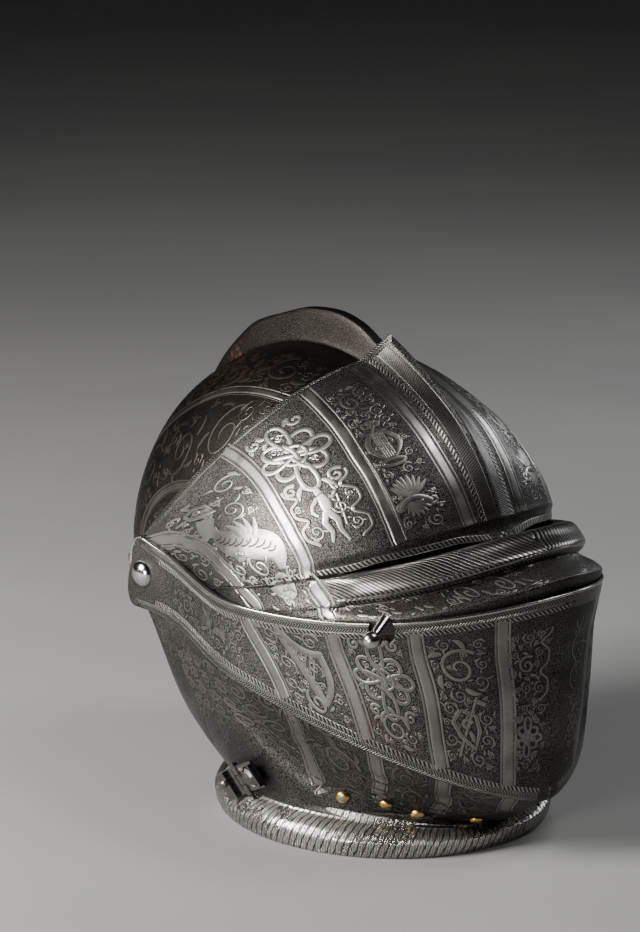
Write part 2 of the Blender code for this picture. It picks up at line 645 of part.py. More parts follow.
def build_latch(parts, cutters):
    """The fixed plate with the two outer knuckles, the leaf with the middle one and its
    domed boss, and the pin through all three."""
    frame, length = latch_frame()
    third = length / 3.0
    hole = cutter(tube_piece("latch_hole", frame, 0.0, 2.0 * length, LATCH_PIN + 0.1 * MM,
                             cutters))

    bend = Matrix.Rotation(math.radians(LATCH_BEND), 4, "Y")
    tall = 0.42 * length
    plate = in_frame(block("latch_plate", (-FIXED_REACH, -tall, -0.5 * FIXED_PLATE),
                           (-LEAF_START, tall, 0.5 * FIXED_PLATE), parts), frame, bend)
    plate.data.materials.append(material("latch_plate", "bright"))
    step = in_frame(block("latch_step", (-FIXED_REACH, -tall, 0.0),
                          (-STEP_START, tall, STEP_HEIGHT), cutters), frame, bend)
    sunk = 0.6 * KNOB[1]
    knob = dome(*KNOB, 3) + [(KNOB[0], -sunk), (0.0, -sunk)]
    middle = Vector((-0.5 * (FIXED_REACH + STEP_START), 0.12 * length, STEP_HEIGHT + 0.4 * sunk))
    knob = in_frame(turned("latch_knob", knob, cutters, None, 12), frame,
                    bend @ Matrix.Translation(middle))
    room = tube_piece("latch_room", frame, 0.0, third + 2.0 * GAP, KNUCKLE + 2.0 * GAP,
                      cutters)
    cut(plate, cutter(step), "UNION")
    cut(plate, cutter(knob), "UNION")
    cut(plate, cutter(room))
    for name, side in (("latch_knuckle_top", -1.0), ("latch_knuckle_foot", 1.0)):
        knuckle = tube_piece(name, frame, side * (third + 0.5 * GAP), third - GAP, KNUCKLE,
                             cutters)
        cut(plate, cutter(knuckle), "UNION")
    cut(plate, hole)

    half = 0.5 * LEAF_WIDTH
    leaf = in_frame(block("latch_hasp", (LEAF_START, -half, -0.5 * PLATE),
                          (LEAF_REACH, half, 0.5 * PLATE), parts), frame)
    leaf.data.materials.append(material("latch_hasp", "bright"))
    middle = tube_piece("latch_middle_knuckle", frame, 0.0, third - GAP, KNUCKLE, cutters)
    sunk = 0.25 * PLATE
    boss = dome(*BOSS, 4) + [(BOSS[0], -sunk), (0.0, -sunk)]
    boss = in_frame(turned("latch_boss", boss, cutters, None, 16), frame,
                    Matrix.Translation(Vector((BOSS_PLACE, 0.0, 0.5 * PLATE - GAP))))
    lip = in_frame(block("latch_lip", (LEAF_REACH - LIP_DEPTH, -0.84 * half, -sunk),
                         (LEAF_REACH + 0.2 * MM, 0.84 * half, STEP_HEIGHT), cutters), frame)
    for side in (-1.0, 1.0):
        low = side * (0.5 * third + 0.5 * GAP)
        high = side * length
        room = in_frame(block("leaf_room", (-4.0 * MM, min(low, high), -4.0 * MM),
                              (KNUCKLE + 2.0 * GAP, max(low, high), 4.0 * MM), cutters), frame)
        cut(leaf, cutter(room))
    for other in (middle, boss, lip):
        cut(leaf, cutter(other), "UNION")
    cut(leaf, hole)

    pin = tube_piece("latch_pin", frame, 0.0, length + 1.0 * MM, LATCH_PIN, parts)
    pin.data.materials.append(material("latch_pin", "bright"))
    return [plate, pin]


def on_lower_bevor(angle, share):
    """Point of the lower bevor's outer face, for a row's angle and a share along it."""
    end, radius = neck_end(angle)
    if angle > LOWER_BEVOR_RIDGE[0][0]:
        end = 0.0
        radius = float(along(LOWER_BEVOR_RIDGE, angle)) * MM
    x = half_width(angle, share, radius, TEMPLE - 2.0 * LAYER, LOWER_BEVOR_SIDE, end,
                   LOWER_SWELL)
    turn = math.radians(angle)
    return world((float(x), share * radius * math.cos(turn), share * radius * math.sin(turn)))


def lining_rivets(parts):
    """Domed brass caps in a row just above the collar, on both sides."""
    caps = []
    for number, (angle, share) in enumerate(LINING_RIVETS, start=1):
        place = on_lower_bevor(angle, share)
        along_row = on_lower_bevor(angle, share + 0.01) - place
        across_rows = on_lower_bevor(angle - 0.5, share) - place
        out = along_row.cross(across_rows).normalized()
        if out.x < 0.0:
            out.negate()
        place = place + out * 2.0 * GAP
        for side, word in ((-1.0, "right"), (1.0, "left")):
            profile = dome(*CAP, 4) + [(0.0, 0.0)]
            cap = turned(f"lining_rivet_{word}_{number}", profile, parts, "brass", 14)
            point_along(cap, (side * place.x, place.y, place.z), (side * out.x, out.y, out.z))
            caps.append(cap)
    return caps


# ---------------------------------------------------------------- building
def build_plates(parts, cutters):
    bore = cylinder("rivet_bore", (0.0, PIVOT_BACK, PIVOT_HEIGHT), (1, 0, 0),
                    SHANK + GAP, 3.0 * TEMPLE, cutters)
    cutter(bore)

    upper_bevor = thicken(surface("upper_bevor", upper_bevor_points(), parts, "plate"))
    cut(upper_bevor, bore)
    cut(upper_bevor, notch_cutter(cutters))

    points = visor_points()

    def open_sight(row, column):
        if row != SIGHT_ROW:
            return False
        near = abs(points[row, column, 0])
        far = abs(points[row, column + 1, 0])
        return min(near, far) >= SIGHT_INNER and max(near, far) <= SIGHT_OUTER

    visor = thicken(surface("visor", points, parts, "plate", open_sight))
    cut(visor, bore)

    x, f, z = lower_bevor_points()
    columns = x.shape[1]
    whole = np.stack([np.concatenate([-x, x[:, ::-1]], axis=1),
                      PIVOT_BACK - np.concatenate([f, f[:, ::-1]], axis=1),
                      PIVOT_HEIGHT + np.concatenate([z, z[:, ::-1]], axis=1)], axis=-1)
    lower_bevor = surface("lower_bevor", whole, parts, "plate",
                          lambda row, column: column == columns - 1)
    thicken(lower_bevor)
    skull = surface("skull", both_sides(*skull_points()), parts, "skull")
    thicken(skull)
    cut(skull, lap_cutter(cutters))

    for plate, front in ((lower_bevor, True), (skull, False)):
        rim = collar_ring(plate.name + "_rim", cutters)
        cut(rim, seam_block(plate.name + "_seam", not front, cutters))
        cutter(rim)
        cut(plate, rim, "UNION")
        cut(plate, bore)
    return {"skull": skull, "lower_bevor": lower_bevor, "upper_bevor": upper_bevor,
            "visor": visor}


def ride(pieces, plate):
    """Fix small pieces to the plate they move with, without moving them."""
    for piece in pieces:
        piece.parent = plate
        piece.matrix_parent_inverse = Matrix.Translation(-plate.location)


def main():
    clear_scene()
    parts = collection("armet")
    cutters = collection("cutters")
    plates = build_plates(parts, cutters)
    pivot_rivet("pivot_rivet_right", -1.0, parts)
    pivot_rivet("pivot_rivet_left", 1.0, parts)
    ride([lifting_peg(parts)], plates["visor"])
    latch = build_latch(parts, cutters)
    ride(latch + lining_rivets(parts), plates["lower_bevor"])


main()
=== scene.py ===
# %% [markdown]
# An armet, or close helmet: four steel plates that turn on one line through the temples.
# The measured solids of the helmet are loaded first. They say where everything is and what
# moves with what, and this lesson puts finely made surfaces in their places.

# %% Load the measured helmet
import math

import bmesh
import bpy
import numpy as np
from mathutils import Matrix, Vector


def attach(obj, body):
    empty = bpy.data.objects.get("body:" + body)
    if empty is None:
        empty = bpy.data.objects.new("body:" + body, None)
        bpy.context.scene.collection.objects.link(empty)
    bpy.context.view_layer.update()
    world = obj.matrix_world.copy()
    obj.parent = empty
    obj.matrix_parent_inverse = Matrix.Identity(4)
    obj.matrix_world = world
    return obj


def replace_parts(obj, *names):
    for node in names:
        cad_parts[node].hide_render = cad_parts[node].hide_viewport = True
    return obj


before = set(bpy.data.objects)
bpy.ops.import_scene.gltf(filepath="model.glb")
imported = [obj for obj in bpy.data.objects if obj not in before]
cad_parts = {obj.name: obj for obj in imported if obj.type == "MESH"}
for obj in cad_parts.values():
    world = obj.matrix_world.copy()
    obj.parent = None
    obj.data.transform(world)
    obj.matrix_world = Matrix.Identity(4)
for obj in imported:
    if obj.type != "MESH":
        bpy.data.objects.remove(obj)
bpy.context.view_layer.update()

# %% [markdown]
# Every plate is measured from the pivot line: a reach ahead of it, a height above it, or
# a radius and an angle about it. These are the armourer's templates: outlines in the
# middle plane and the greatest width at each angle. Lengths here are millimetres.

# %% The armourer's templates
MM = 0.001
PIVOT_HEIGHT, PIVOT_BACK = 133.0, 92.7
PLATE, LAYER, TEMPLE = 1.6, 2.7, 93.0
SWELL, LOWER_SWELL, SWELL_LENGTH = 17.0, 25.0, 90.0
OUTER_LOBE, INNER_LOBE = (22.0, 11.0), (16.5, 9.0)
NECK_REACH, NECK_HALF_WIDTH, NECK_HALF_LENGTH = 103.0, 84.0, 90.0
COLLAR_HEIGHT, COLLAR_EQUATOR, SEAM_ANGLE = 20.0, 9.0, -72.0
SKULL_FRONT = 14.0
NECK_DROP = ((13, 113.0), (125, 113.0), (166, 115.5), (193, 121.5))
UPPER_BEVOR_RIDGE = ((-22.8, 253.4), (-14.6, 246.7), (-3.4, 242.8), (5.6, 250.0))
LOWER_BEVOR_RIDGE = ((-32.2, 228.1), (-30, 235), (-27.5, 241), (-25, 246), (-23.4, 249.3),
                     (-20, 246), (-15, 242))
VISOR_BASE = ((0.5, 238.0), (6, 236), (10, 216), (14, 203.5), (16, 200.5), (23.4, 196.3),
              (30.9, 190.3), (38.1, 181.2), (45, 172), (53.5, 160.5))
SKULL_CROWN = ((15, 194.5), (23, 191), (31, 185), (38, 177), (45, 168), (53.5, 157), (62, 148),
               (72, 137), (90, 118), (110, 101), (130, 83.5), (150, 71), (165, 65.5), (180, 63))
COMB_HEIGHT = ((40, 4.0), (53.5, 13), (60, 18.5), (67, 21), (74, 20.5), (82, 18), (90, 17.5),
               (98, 13), (105, 9), (114, 4.5), (126, 0))
KEEL_HEIGHT = ((14, 1.0), (16, 1.5), (23.4, 3), (30.9, 5.5), (38.1, 8.5), (45, 12.5), (53.5, 18.5))
# angle, greatest half width, fullness, roundness
UPPER_BEVOR_SIDE = ((-22.8, 113.0, 3.4, 1.5), (5.6, 114.0, 3.4, 1.5))
LOWER_BEVOR_SIDE = ((-72, 92.5, 3.2, 1.0), (-45, 99, 3.1, 1.0), (-30.4, 107, 3.0, 1.25),
                    (-23, 108, 3.3, 1.45), (-15, 108, 3.3, 1.5))
VISOR_SIDE = ((0.5, 109.8, 3.4, 1.5), (7, 109.8, 3.4, 1.5), (11, 109.5, 3.45, 1.8),
              (16, 109, 3.5, 2.1), (30, 102, 3.1, 2.05), (42, 95, 2.8, 2.0),
              (53.5, 89.5, 2.55, 2.0))
SKULL_SIDE = ((15, 98.0, 3.0, 2.0), (30, 94, 2.8, 2.0), (53.5, 86.5, 2.55, 2.0),
              (90, 84.9, 2.0, 2.0), (180, 84.9, 1.9, 2.0))
# visor rows: number, angle at the ridge, angle at the sides, relief
VISOR_ROWS = ((0, 0.5, -0.8, 0.5), (1, 5.6, 2.5, 9.5), (2, 7.4, 3.8, 13), (3, 7.9, 4.5, 10),
              (4, 9.5, 5.6, -4.5), (5, 10, 6.3, -2), (6, 11.2, 8.0, 5.5), (7, 12.35, 9.8, 8.5),
              (8, 13.35, 10.8, 5.6), (9, 13.1, 11.3, 0), (10, 12.4, 11.4, -7),
              (11, 14.4, 13.1, -5), (12, 16, 15, -1), (13, 19.5, 19, 0), (14, 23.4, 23.2, 0),
              (15, 27.5, 27.5, 0), (16, 32, 32, 0), (17, 37, 37, 0), (18, 42.5, 42.5, 0),
              (19, 48, 48, 0), (20, 53.5, 53.5, 0))
SIGHT_ROWS, SIGHT_SPAN = (10.0, 11.0), (5.0, 80.5)
ROLL_ROWS, ROLL_END = (5.3, 8.9), 89.0
# skull levels below the pivot line: height, half width, middle ahead, half length
SKULL_NAPE = ((-115, 83.0, 103, 89.3), (-112, 83.2, 102, 89.3), (-100, 84.5, 93, 87.5),
              (-85, 86, 79, 84), (-65, 86.8, 61, 80), (-45, 85.4, 42, 76), (-22, 84.2, 18, 69.5),
              (0, 84.9, 0, 63))
# collar rim: distance out of the neck line, height
COLLAR_RIM = ((-0.8, 24.5), (0.4, 19.6), (4.4, 17.4), (8.6, 13.8), (10.5, 9.0), (9.9, 4.0),
              (7.6, 0.0), (3.2, 0.0), (3.2, 1.7), (6.9, 1.7), (8.7, 8.0), (6.8, 13.0),
              (3.2, 15.8), (-1.2, 17.6), (-2.8, 24.5))


# %% [markdown]
# A template of a few points becomes a smooth curve with cubic steps whose slopes match
# at the points and never overshoot. It is the one tool that reads all the tables.

# %% Smooth curves through the templates
def along(table, at, column=1):
    """Cubic Hermite steps between a table's points; each slope is the harmonic mean of
    the two chords beside it, or zero where they disagree."""
    table = np.asarray(table, float)
    keys = table[:, 0]
    values = table[:, column]
    at = np.clip(np.asarray(at, float), keys[0], keys[-1])
    steps = np.diff(keys)
    rates = np.diff(values) / steps
    slopes = np.concatenate([rates[:1], np.zeros(len(keys) - 2), rates[-1:]])
    same = rates[:-1] * rates[1:] > 0
    slopes[1:-1] = np.where(same, 2 * rates[:-1] * rates[1:]
                            / np.where(same, rates[:-1] + rates[1:], 1), 0)
    n = np.clip(np.searchsorted(keys, at, side="right") - 1, 0, len(keys) - 2)
    t = (at - keys[n]) / steps[n]
    return ((1 + 2 * t) * (1 - t) ** 2 * values[n] + t * t * (3 - 2 * t) * values[n + 1]
            + (t * (1 - t) ** 2 * slopes[n] + t * t * (t - 1) * slopes[n + 1]) * steps[n])


def ease(value, start, end):
    """0 before start, 1 after end, 3t^2 - 2t^3 between."""
    t = np.clip((value - start) / (end - start), 0, 1)
    return t * t * (3 - 2 * t)


def neck_drop(reach):
    return along(NECK_DROP, reach)


def neck_end(angle):
    """Where a half-plane at this angle meets the collar's neck line: half width and
    radius. The drop depends on the reach, so it is found by going round a few times."""
    down = np.radians(np.minimum(angle, -20.0))
    drop = neck_drop(0.0)
    for _ in range(12):
        drop = neck_drop(drop / np.tan(-down))
    share = np.clip((drop / np.tan(-down) - NECK_REACH) / NECK_HALF_LENGTH, -1, 1)
    return NECK_HALF_WIDTH * np.sqrt(1 - share ** 2), drop / np.sin(-down)


def half_width(angle, share, radius, temple, side, end=0.0, start=SWELL):
    """Flat at the temple, swelling to the template's width, then closing to the middle
    plane on a superellipse (1 - share^fullness)^(1/roundness)."""
    grown = ease(share * radius, start, start + SWELL_LENGTH)
    swell = temple + (along(side, angle, 1) - temple) * grown
    closing = np.clip(1 - share ** along(side, angle, 2), 0, 1) ** (1 / along(side, angle, 3))
    return end + (swell - end) * closing


def strap(side, ridge, radius, column, across, lobe_size, hold, middle):
    """Reach, height, fan angle and share of a plate that fans out of a rounded end on
    the pivot line. Columns from -1 to 0 go round the end, and from 0 to 1 go out to
    the middle plane. The offset across the end dies away as (1 - share)^hold."""
    share = np.clip(column, 0, 1)
    round_end = -np.cos(0.5 * math.pi * (np.clip(column, -1, 0) + 1))
    spread = np.where(column < 0, np.sqrt(1 - round_end ** 2), (1 - share) ** hold)
    fan = side + (ridge - side) * share ** 5
    lean, turn = np.radians(side), np.radians(fan)
    back, lift = lobe_size[1] * round_end, lobe_size[0] * across * spread
    f = back * math.cos(middle) - lift * np.sin(lean) + share * radius * np.cos(turn)
    z = back * math.sin(middle) + lift * np.cos(lean) + share * radius * np.sin(turn)
    return f, z, fan, share


def in_place(x, f, z):
    """World metres from half width, reach and height about the pivot line."""
    return np.stack([x, PIVOT_BACK - f, PIVOT_HEIGHT + z], axis=-1) * MM


print("ridge of the upper bevor at its middle:", float(along(UPPER_BEVOR_RIDGE, -10)), "mm")


# %% [markdown]
# Each plate is one function of two numbers: its row, and its column from the pivot out
# to the middle plane. Everything laid on a plate later, such as a band or a scroll, uses
# the same function, so it follows the steel exactly.

# %% The four plates as surfaces of two numbers
def on_visor(row, column):
    """Rows 0 to 20 from the hidden lower edge to the rear edge; crest, roll and sights
    are rows whose relief grows the radius, and the keel grows it near the middle."""
    ridge, side = along(VISOR_ROWS, row, 1), along(VISOR_ROWS, row, 2)
    base = along(VISOR_BASE, side)
    across = 2 * (side + 0.8) / 54.3 - 1
    f, z, fan, share = strap(side, ridge, base, column, across, INNER_LOBE, 1.0,
                             math.radians(26.35))
    x = half_width(fan, share, base, TEMPLE - LAYER, VISOR_SIDE)
    rolled = ease(row, 4.0, 4.9) * (1 - ease(row, 9.0, 10.0))
    faded = (1 - rolled) * ease(x, 78, 103) + rolled * ease(x, 85, 91)
    relief = along(VISOR_ROWS, row, 3) * (1 - faded) * ease(share, 0.45, 0.75)
    keel = along(KEEL_HEIGHT, fan) * ease(fan, 13.4, 14.6) * np.clip(1 - x / 13, 0, 1) ** 1.4
    radius = np.hypot(f, z)
    grow = np.where(share > 0.3, (radius + relief + keel) / np.maximum(radius, 1), 1)
    return in_place(-x, f * grow, z * grow)


def on_upper_bevor(row, column):
    """Rows 0 to 1 from the lower edge to the lip."""
    ridge, side = -22.8 + 28.4 * row, -19.4 + 21.8 * row
    radius = along(UPPER_BEVOR_RIDGE, ridge)
    f, z, fan, share = strap(side, ridge, radius, column, 2 * row - 1, OUTER_LOBE, 4.0,
                             math.radians(-8.5))
    return in_place(-half_width(fan, share, radius, TEMPLE, UPPER_BEVOR_SIDE), f, z)


def creased_bevor(angle, column):
    """Rows are angles below the pivot line, -16 to -72. Below the chin they end on the
    collar's neck line instead of the middle plane."""
    end, radius = neck_end(angle)
    chin = angle > -32.2
    end = np.where(chin, 0, end)
    radius = np.where(chin, along(LOWER_BEVOR_RIDGE, angle), radius)
    f, z, fan, share = strap(angle, angle, radius, column, 2 * (angle + 72) / 56 - 1,
                             INNER_LOBE, 3.0, math.radians(-44))
    return in_place(-half_width(fan, share, radius, TEMPLE - 2 * LAYER, LOWER_BEVOR_SIDE, end,
                                LOWER_SWELL), f, z)


def on_lower_bevor(angle, column):
    """The same with the crease under the chin hammered out: each point is the mean of
    eleven over ten degrees, fewer near the plate's ends. The last columns keep their own
    places, so the two halves still meet."""
    angle, column = np.broadcast_arrays(np.asarray(angle, float), np.asarray(column, float))
    room = np.clip(np.minimum(angle + 72, -16 - angle) / 5, 0, 1)
    mean = sum(creased_bevor(angle + shift * room, column) for shift in range(-5, 6)) / 11
    keep = ease(column, 0.955, 1.0)[..., None]
    return creased_bevor(angle, column) * keep + mean * (1 - keep)


def on_skull(row, column):
    """Rows 15 to 180 are angles over the crown; rows past 180 are millimetres below the
    pivot line. The comb is added where the surface is nearly in the middle plane."""
    angle_row = np.minimum(row, 180.0)
    crown = along(SKULL_CROWN, angle_row)
    turn = np.radians(angle_row)
    f = SKULL_FRONT + (crown * np.cos(turn) - SKULL_FRONT) * column
    z = crown * np.sin(turn) * column
    angle = np.degrees(np.arctan2(z, f))
    radius = np.hypot(f, z)
    share = np.where(column > 0.99999, 1.0, np.clip(radius / along(SKULL_CROWN, angle), 0, 1))
    x = half_width(angle, share, along(SKULL_CROWN, angle), TEMPLE - 3 * LAYER, SKULL_SIDE,
                   0.0, LOWER_SWELL)
    grow = (radius + along(COMB_HEIGHT, angle) * (1 - ease(x, 2.6, 7.2))) / np.maximum(radius, 1)
    level = -np.clip(row - 180.0, 0, 115)
    middle, length = along(SKULL_NAPE, level, 2), along(SKULL_NAPE, level, 3)
    lap = SKULL_FRONT - (SKULL_FRONT + 0.8) * ease(-level, 63, 66)
    start = lap - level / math.tan(math.radians(-SEAM_ANGLE))
    low_f = start + (middle - length - start) * column
    low_x = along(SKULL_NAPE, level, 1) * np.sqrt(
        1 - np.clip((middle - low_f) / length, 0, 1) ** 1.9)
    nape = row > 180.0
    return in_place(-np.where(nape, low_x, x), np.where(nape, low_f, f * grow),
                    np.where(nape, level, z * grow))


print("visor's widest half:", float(-on_visor(np.linspace(0, 20, 60)[:, None],
                                              np.linspace(0, 1, 60)[None, :])[..., 0].min()))


# %% [markdown]
# A sheet of points becomes a mesh with one call. The left half of the helmet is the
# right half mirrored in the numbers, not with a negative scale, so the faces stay right
# side out. The test against the helmet's middle turns a sheet that came out inside out.

# %% From a grid of points to a mesh
def grid_faces(rows, columns, keep=None):
    """Corner numbers of every cell of a grid, as one array; keep leaves cells out."""
    corner = (np.arange(rows - 1)[:, None] * columns + np.arange(columns - 1)[None, :])
    faces = np.stack([corner, corner + 1, corner + columns + 1, corner + columns], axis=-1)
    return faces[keep] if keep is not None else faces.reshape(-1, 4)


def fill_mesh(mesh, points, faces):
    mesh.from_pydata(points.reshape(-1, 3), [], faces.tolist())
    mesh.polygons.foreach_set("use_smooth", np.ones(len(mesh.polygons), bool))
    mesh.update()


def mirrored(points):
    """Rows that run from the temple to the middle plane, carried on to the other side."""
    other = points[:, -2::-1] * np.array([-1.0, 1.0, 1.0])
    return np.concatenate([points, other], axis=1)


HEART = np.array([0.0, 0.0, PIVOT_HEIGHT * MM])


def add_uv(mesh, uv):
    """The UV map "along": for each corner, its point's entry in uv."""
    layer = mesh.uv_layers.new(name="along")
    corners = np.zeros(len(mesh.loops), int)
    mesh.loops.foreach_get("vertex_index", corners)
    layer.data.foreach_set("uv", uv.reshape(-1, 2)[corners].ravel())


def mend(mesh, weld, thin=0.0):
    """Joins points closer than weld, drops loose ones and edges shorter than thin, and
    turns the faces the same way out."""
    shape = bmesh.new()
    shape.from_mesh(mesh)
    bmesh.ops.remove_doubles(shape, verts=shape.verts, dist=weld)
    bmesh.ops.delete(shape, geom=[v for v in shape.verts if not v.link_faces], context="VERTS")
    if thin:
        bmesh.ops.dissolve_degenerate(shape, edges=shape.edges, dist=thin)
    bmesh.ops.recalc_face_normals(shape, faces=shape.faces)
    shape.to_mesh(mesh)
    shape.free()


def placed(name, mesh, body):
    """An object at the origin that rides on a body, whose empty is made if it is missing."""
    piece = bpy.data.objects.new(name, mesh)
    bpy.context.scene.collection.objects.link(piece)
    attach(piece, body)
    return piece


def new_piece(name, points, faces, body, uv=None, second=None):
    """A plate whose faces look away from the helmet's heart. Faces marked in second get
    the plate's second finish."""
    mesh = bpy.data.meshes.new(name)
    fill_mesh(mesh, points, faces)
    if uv is not None:
        add_uv(mesh, uv)
        mesh.polygons.foreach_set("material_index", second.ravel().astype(int))
    mend(mesh, 0.00001)
    centres = np.zeros(len(mesh.polygons) * 3)
    normals = np.zeros(len(mesh.polygons) * 3)
    mesh.polygons.foreach_get("center", centres)
    mesh.polygons.foreach_get("normal", normals)
    outward = ((centres.reshape(-1, 3) - HEART) * normals.reshape(-1, 3)).sum()
    if outward < 0:
        mesh.flip_normals()
    return placed(name, mesh, body)


def wall(piece, depth=PLATE):
    """Gives an open sheet a plate's thickness, inwards."""
    solid = piece.modifiers.new("wall", "SOLIDIFY")
    solid.thickness = depth * MM
    solid.offset = -1.0
    solid.use_rim = True
    return piece


# %% [markdown]
# The plates. Columns are closest near the pivot's rounded end and where the plate turns
# over the ridge, and the visor's rows are closest over its crest and roll. The sights
# are cells that are left out of the visor between two rows.

# %% Plates of steel
SIGHT_NARROWING = 0.42


def sight_edge(row, column):
    """Rows between the sights and the dome, drawn down so that each sight is a slit that
    thins out towards the middle plane and towards its outer end."""
    x = -on_visor(10.5, np.minimum(column, 1.0))[..., 0] / MM
    narrow = SIGHT_NARROWING + 0.4 * (1 - ease(x, 4, 30)) + 0.35 * ease(x, 66, 82)
    near = np.clip(1 - abs(row - SIGHT_ROWS[1]) / 0.99, 0, 1)
    return row - narrow * near * (3 - 2 * near) * near


COLUMNS = np.concatenate([np.linspace(-1, 0, 7, endpoint=False),
                          np.linspace(0, 0.9, 46, endpoint=False),
                          0.9 + 0.1 * np.sin(np.linspace(0, 0.5 * math.pi, 26))])
visor_rows = np.concatenate([np.linspace(0, 13, 92, endpoint=False), np.linspace(13, 20, 50)])
visor_points = mirrored(on_visor(sight_edge(visor_rows[:, None], COLUMNS[None, :]),
                                 COLUMNS[None, :]))
middles = 0.5 * (visor_points[:-1, :-1] + visor_points[1:, 1:])
cell_rows = 0.5 * (visor_rows[:-1] + visor_rows[1:])[:, None]
open_sight = ((cell_rows > SIGHT_ROWS[0]) & (cell_rows < SIGHT_ROWS[1])
              & (abs(middles[..., 0]) > SIGHT_SPAN[0] * MM)
              & (abs(middles[..., 0]) < SIGHT_SPAN[1] * MM))
along_roll = np.concatenate([[0.0], np.cumsum(np.linalg.norm(
    np.diff(on_visor(np.full(len(COLUMNS), ROLL_ROWS[0]), COLUMNS), axis=0), axis=-1))])
along_roll = np.concatenate([along_roll, along_roll[-2::-1]])
across_roll = 2 * (visor_rows - ROLL_ROWS[0]) / (ROLL_ROWS[1] - ROLL_ROWS[0]) - 1
roll_uv = np.stack(np.broadcast_arrays(along_roll[None, :], across_roll[:, None]), axis=-1)
on_roll = ((cell_rows > ROLL_ROWS[0]) & (cell_rows < ROLL_ROWS[1])
           & (abs(middles[..., 0]) < ROLL_END * MM))
visor = new_piece("visor_steel", visor_points, grid_faces(*visor_points.shape[:2], ~open_sight),
                  "visor", roll_uv, on_roll[~open_sight])
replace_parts(wall(visor), "visor")

NOTCH_FLOOR = in_place(-81.8, 186.2, -2.5)
NOTCH_WAY = np.array([-0.857, -0.515, 0.0])
NOTCH_HALF = 7.0 * MM


def in_notch(points, grow=0.0002):
    """True inside the U-shaped notch: within half a width of its axis, or above it."""
    aside = (points - NOTCH_FLOOR) @ np.array([NOTCH_WAY[1], -NOTCH_WAY[0], 0.0])
    ahead = (points - NOTCH_FLOOR) @ NOTCH_WAY
    above = np.minimum(points[..., 2] - NOTCH_FLOOR[2] - NOTCH_HALF, 0.0)
    return (np.hypot(aside, above) < NOTCH_HALF + grow) & (ahead > -0.03)


def cut_notch(piece):
    """Takes the U-shaped prism out of a plate with its wall, and keeps the result."""
    turn = np.radians(np.linspace(180, 360, 25))
    outline = np.concatenate([np.stack([np.cos(turn), 1 + np.sin(turn)], axis=-1),
                              [[1.0, 4.0], [-1.0, 4.0]]]) * NOTCH_HALF
    side = np.array([-NOTCH_WAY[1], NOTCH_WAY[0], 0.0])
    ends = [NOTCH_FLOOR + NOTCH_WAY * reach + outline[:, :1] * side
            + outline[:, 1:] * np.array([0.0, 0.0, 1.0]) for reach in (-0.02, 0.03)]
    count = len(outline)
    around = np.arange(count)
    after = (around + 1) % count
    sides = np.stack([around, after, after + count, around + count], axis=1)
    mesh = bpy.data.meshes.new("notch")
    mesh.from_pydata(np.concatenate(ends), [], [*sides.tolist(), around[::-1].tolist(),
                                                (around + count).tolist()])
    prism = bpy.data.objects.new("notch", mesh)
    bpy.context.scene.collection.objects.link(prism)
    cut = piece.modifiers.new("notch", "BOOLEAN")
    cut.operation, cut.solver, cut.object = "DIFFERENCE", "EXACT", prism
    shaped = piece.evaluated_get(bpy.context.evaluated_depsgraph_get())
    before = piece.data
    piece.data = bpy.data.meshes.new_from_object(shaped)
    piece.modifiers.clear()
    bpy.data.meshes.remove(before)
    bpy.data.objects.remove(prism)


bevor_rows = np.linspace(0, 1, 44)
points = mirrored(on_upper_bevor(bevor_rows[:, None], COLUMNS[None, :]))
upper_bevor = new_piece("upper_bevor_steel", points, grid_faces(*points.shape[:2]), "upper_bevor")
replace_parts(wall(upper_bevor), "upper_bevor")
cut_notch(upper_bevor)

ring = np.radians(np.linspace(0, 130, 52))
reach = NECK_REACH + NECK_HALF_LENGTH * np.cos(ring)
chin_rows = np.linspace(-16, -31.9, 24)
low_rows = np.concatenate([chin_rows, -np.degrees(np.arctan2(neck_drop(reach), reach)),
                           [SEAM_ANGLE]])
points = on_lower_bevor(low_rows[:, None], COLUMNS[None, :])
points = np.concatenate([points, points[:, ::-1] * np.array([-1.0, 1.0, 1.0])], axis=1)
joined = np.ones((len(low_rows) - 1, 2 * len(COLUMNS) - 1), bool)
joined[len(chin_rows) - 1:, len(COLUMNS) - 1] = False
lower_bevor = new_piece("lower_bevor_steel", points, grid_faces(*points.shape[:2], joined),
                        "lower_bevor")
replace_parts(wall(lower_bevor), "lower_bevor")

skull_rows = np.concatenate([np.linspace(15, 180, 112), 180 + np.linspace(2, 115, 50)])
skull_columns = np.sin(np.radians(np.concatenate([np.linspace(0, 80, 40, endpoint=False),
                                                  np.linspace(80, 90, 26)])))
points = mirrored(on_skull(skull_rows[:, None], skull_columns[None, :]))
skull = new_piece("skull_steel", points, grid_faces(*points.shape[:2]), "skull")
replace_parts(wall(skull), "skull")
for plate in (visor, upper_bevor, lower_bevor, skull):
    print(plate.name, len(plate.data.polygons), "faces")

# %% [markdown]
# The collar's rim is one section carried round the neck line, twisted like a rope. The
# twist is cut into it: grooves that lean as they cross the section. Its two halves meet
# on the plane where the helmet opens, so each section point stops at its own place.

# %% Roped collar
def rim_section(steps):
    """Points of the rim's section as a closed smooth loop, outer skin first."""
    table = np.array([(n, *point) for n, point in enumerate(COLLAR_RIM)], float)
    outer = np.linspace(0, 6, steps)
    loop = np.concatenate([outer, np.arange(7, 15)])
    return np.stack([along(table, loop, 1), along(table, loop, 2)], axis=-1), loop


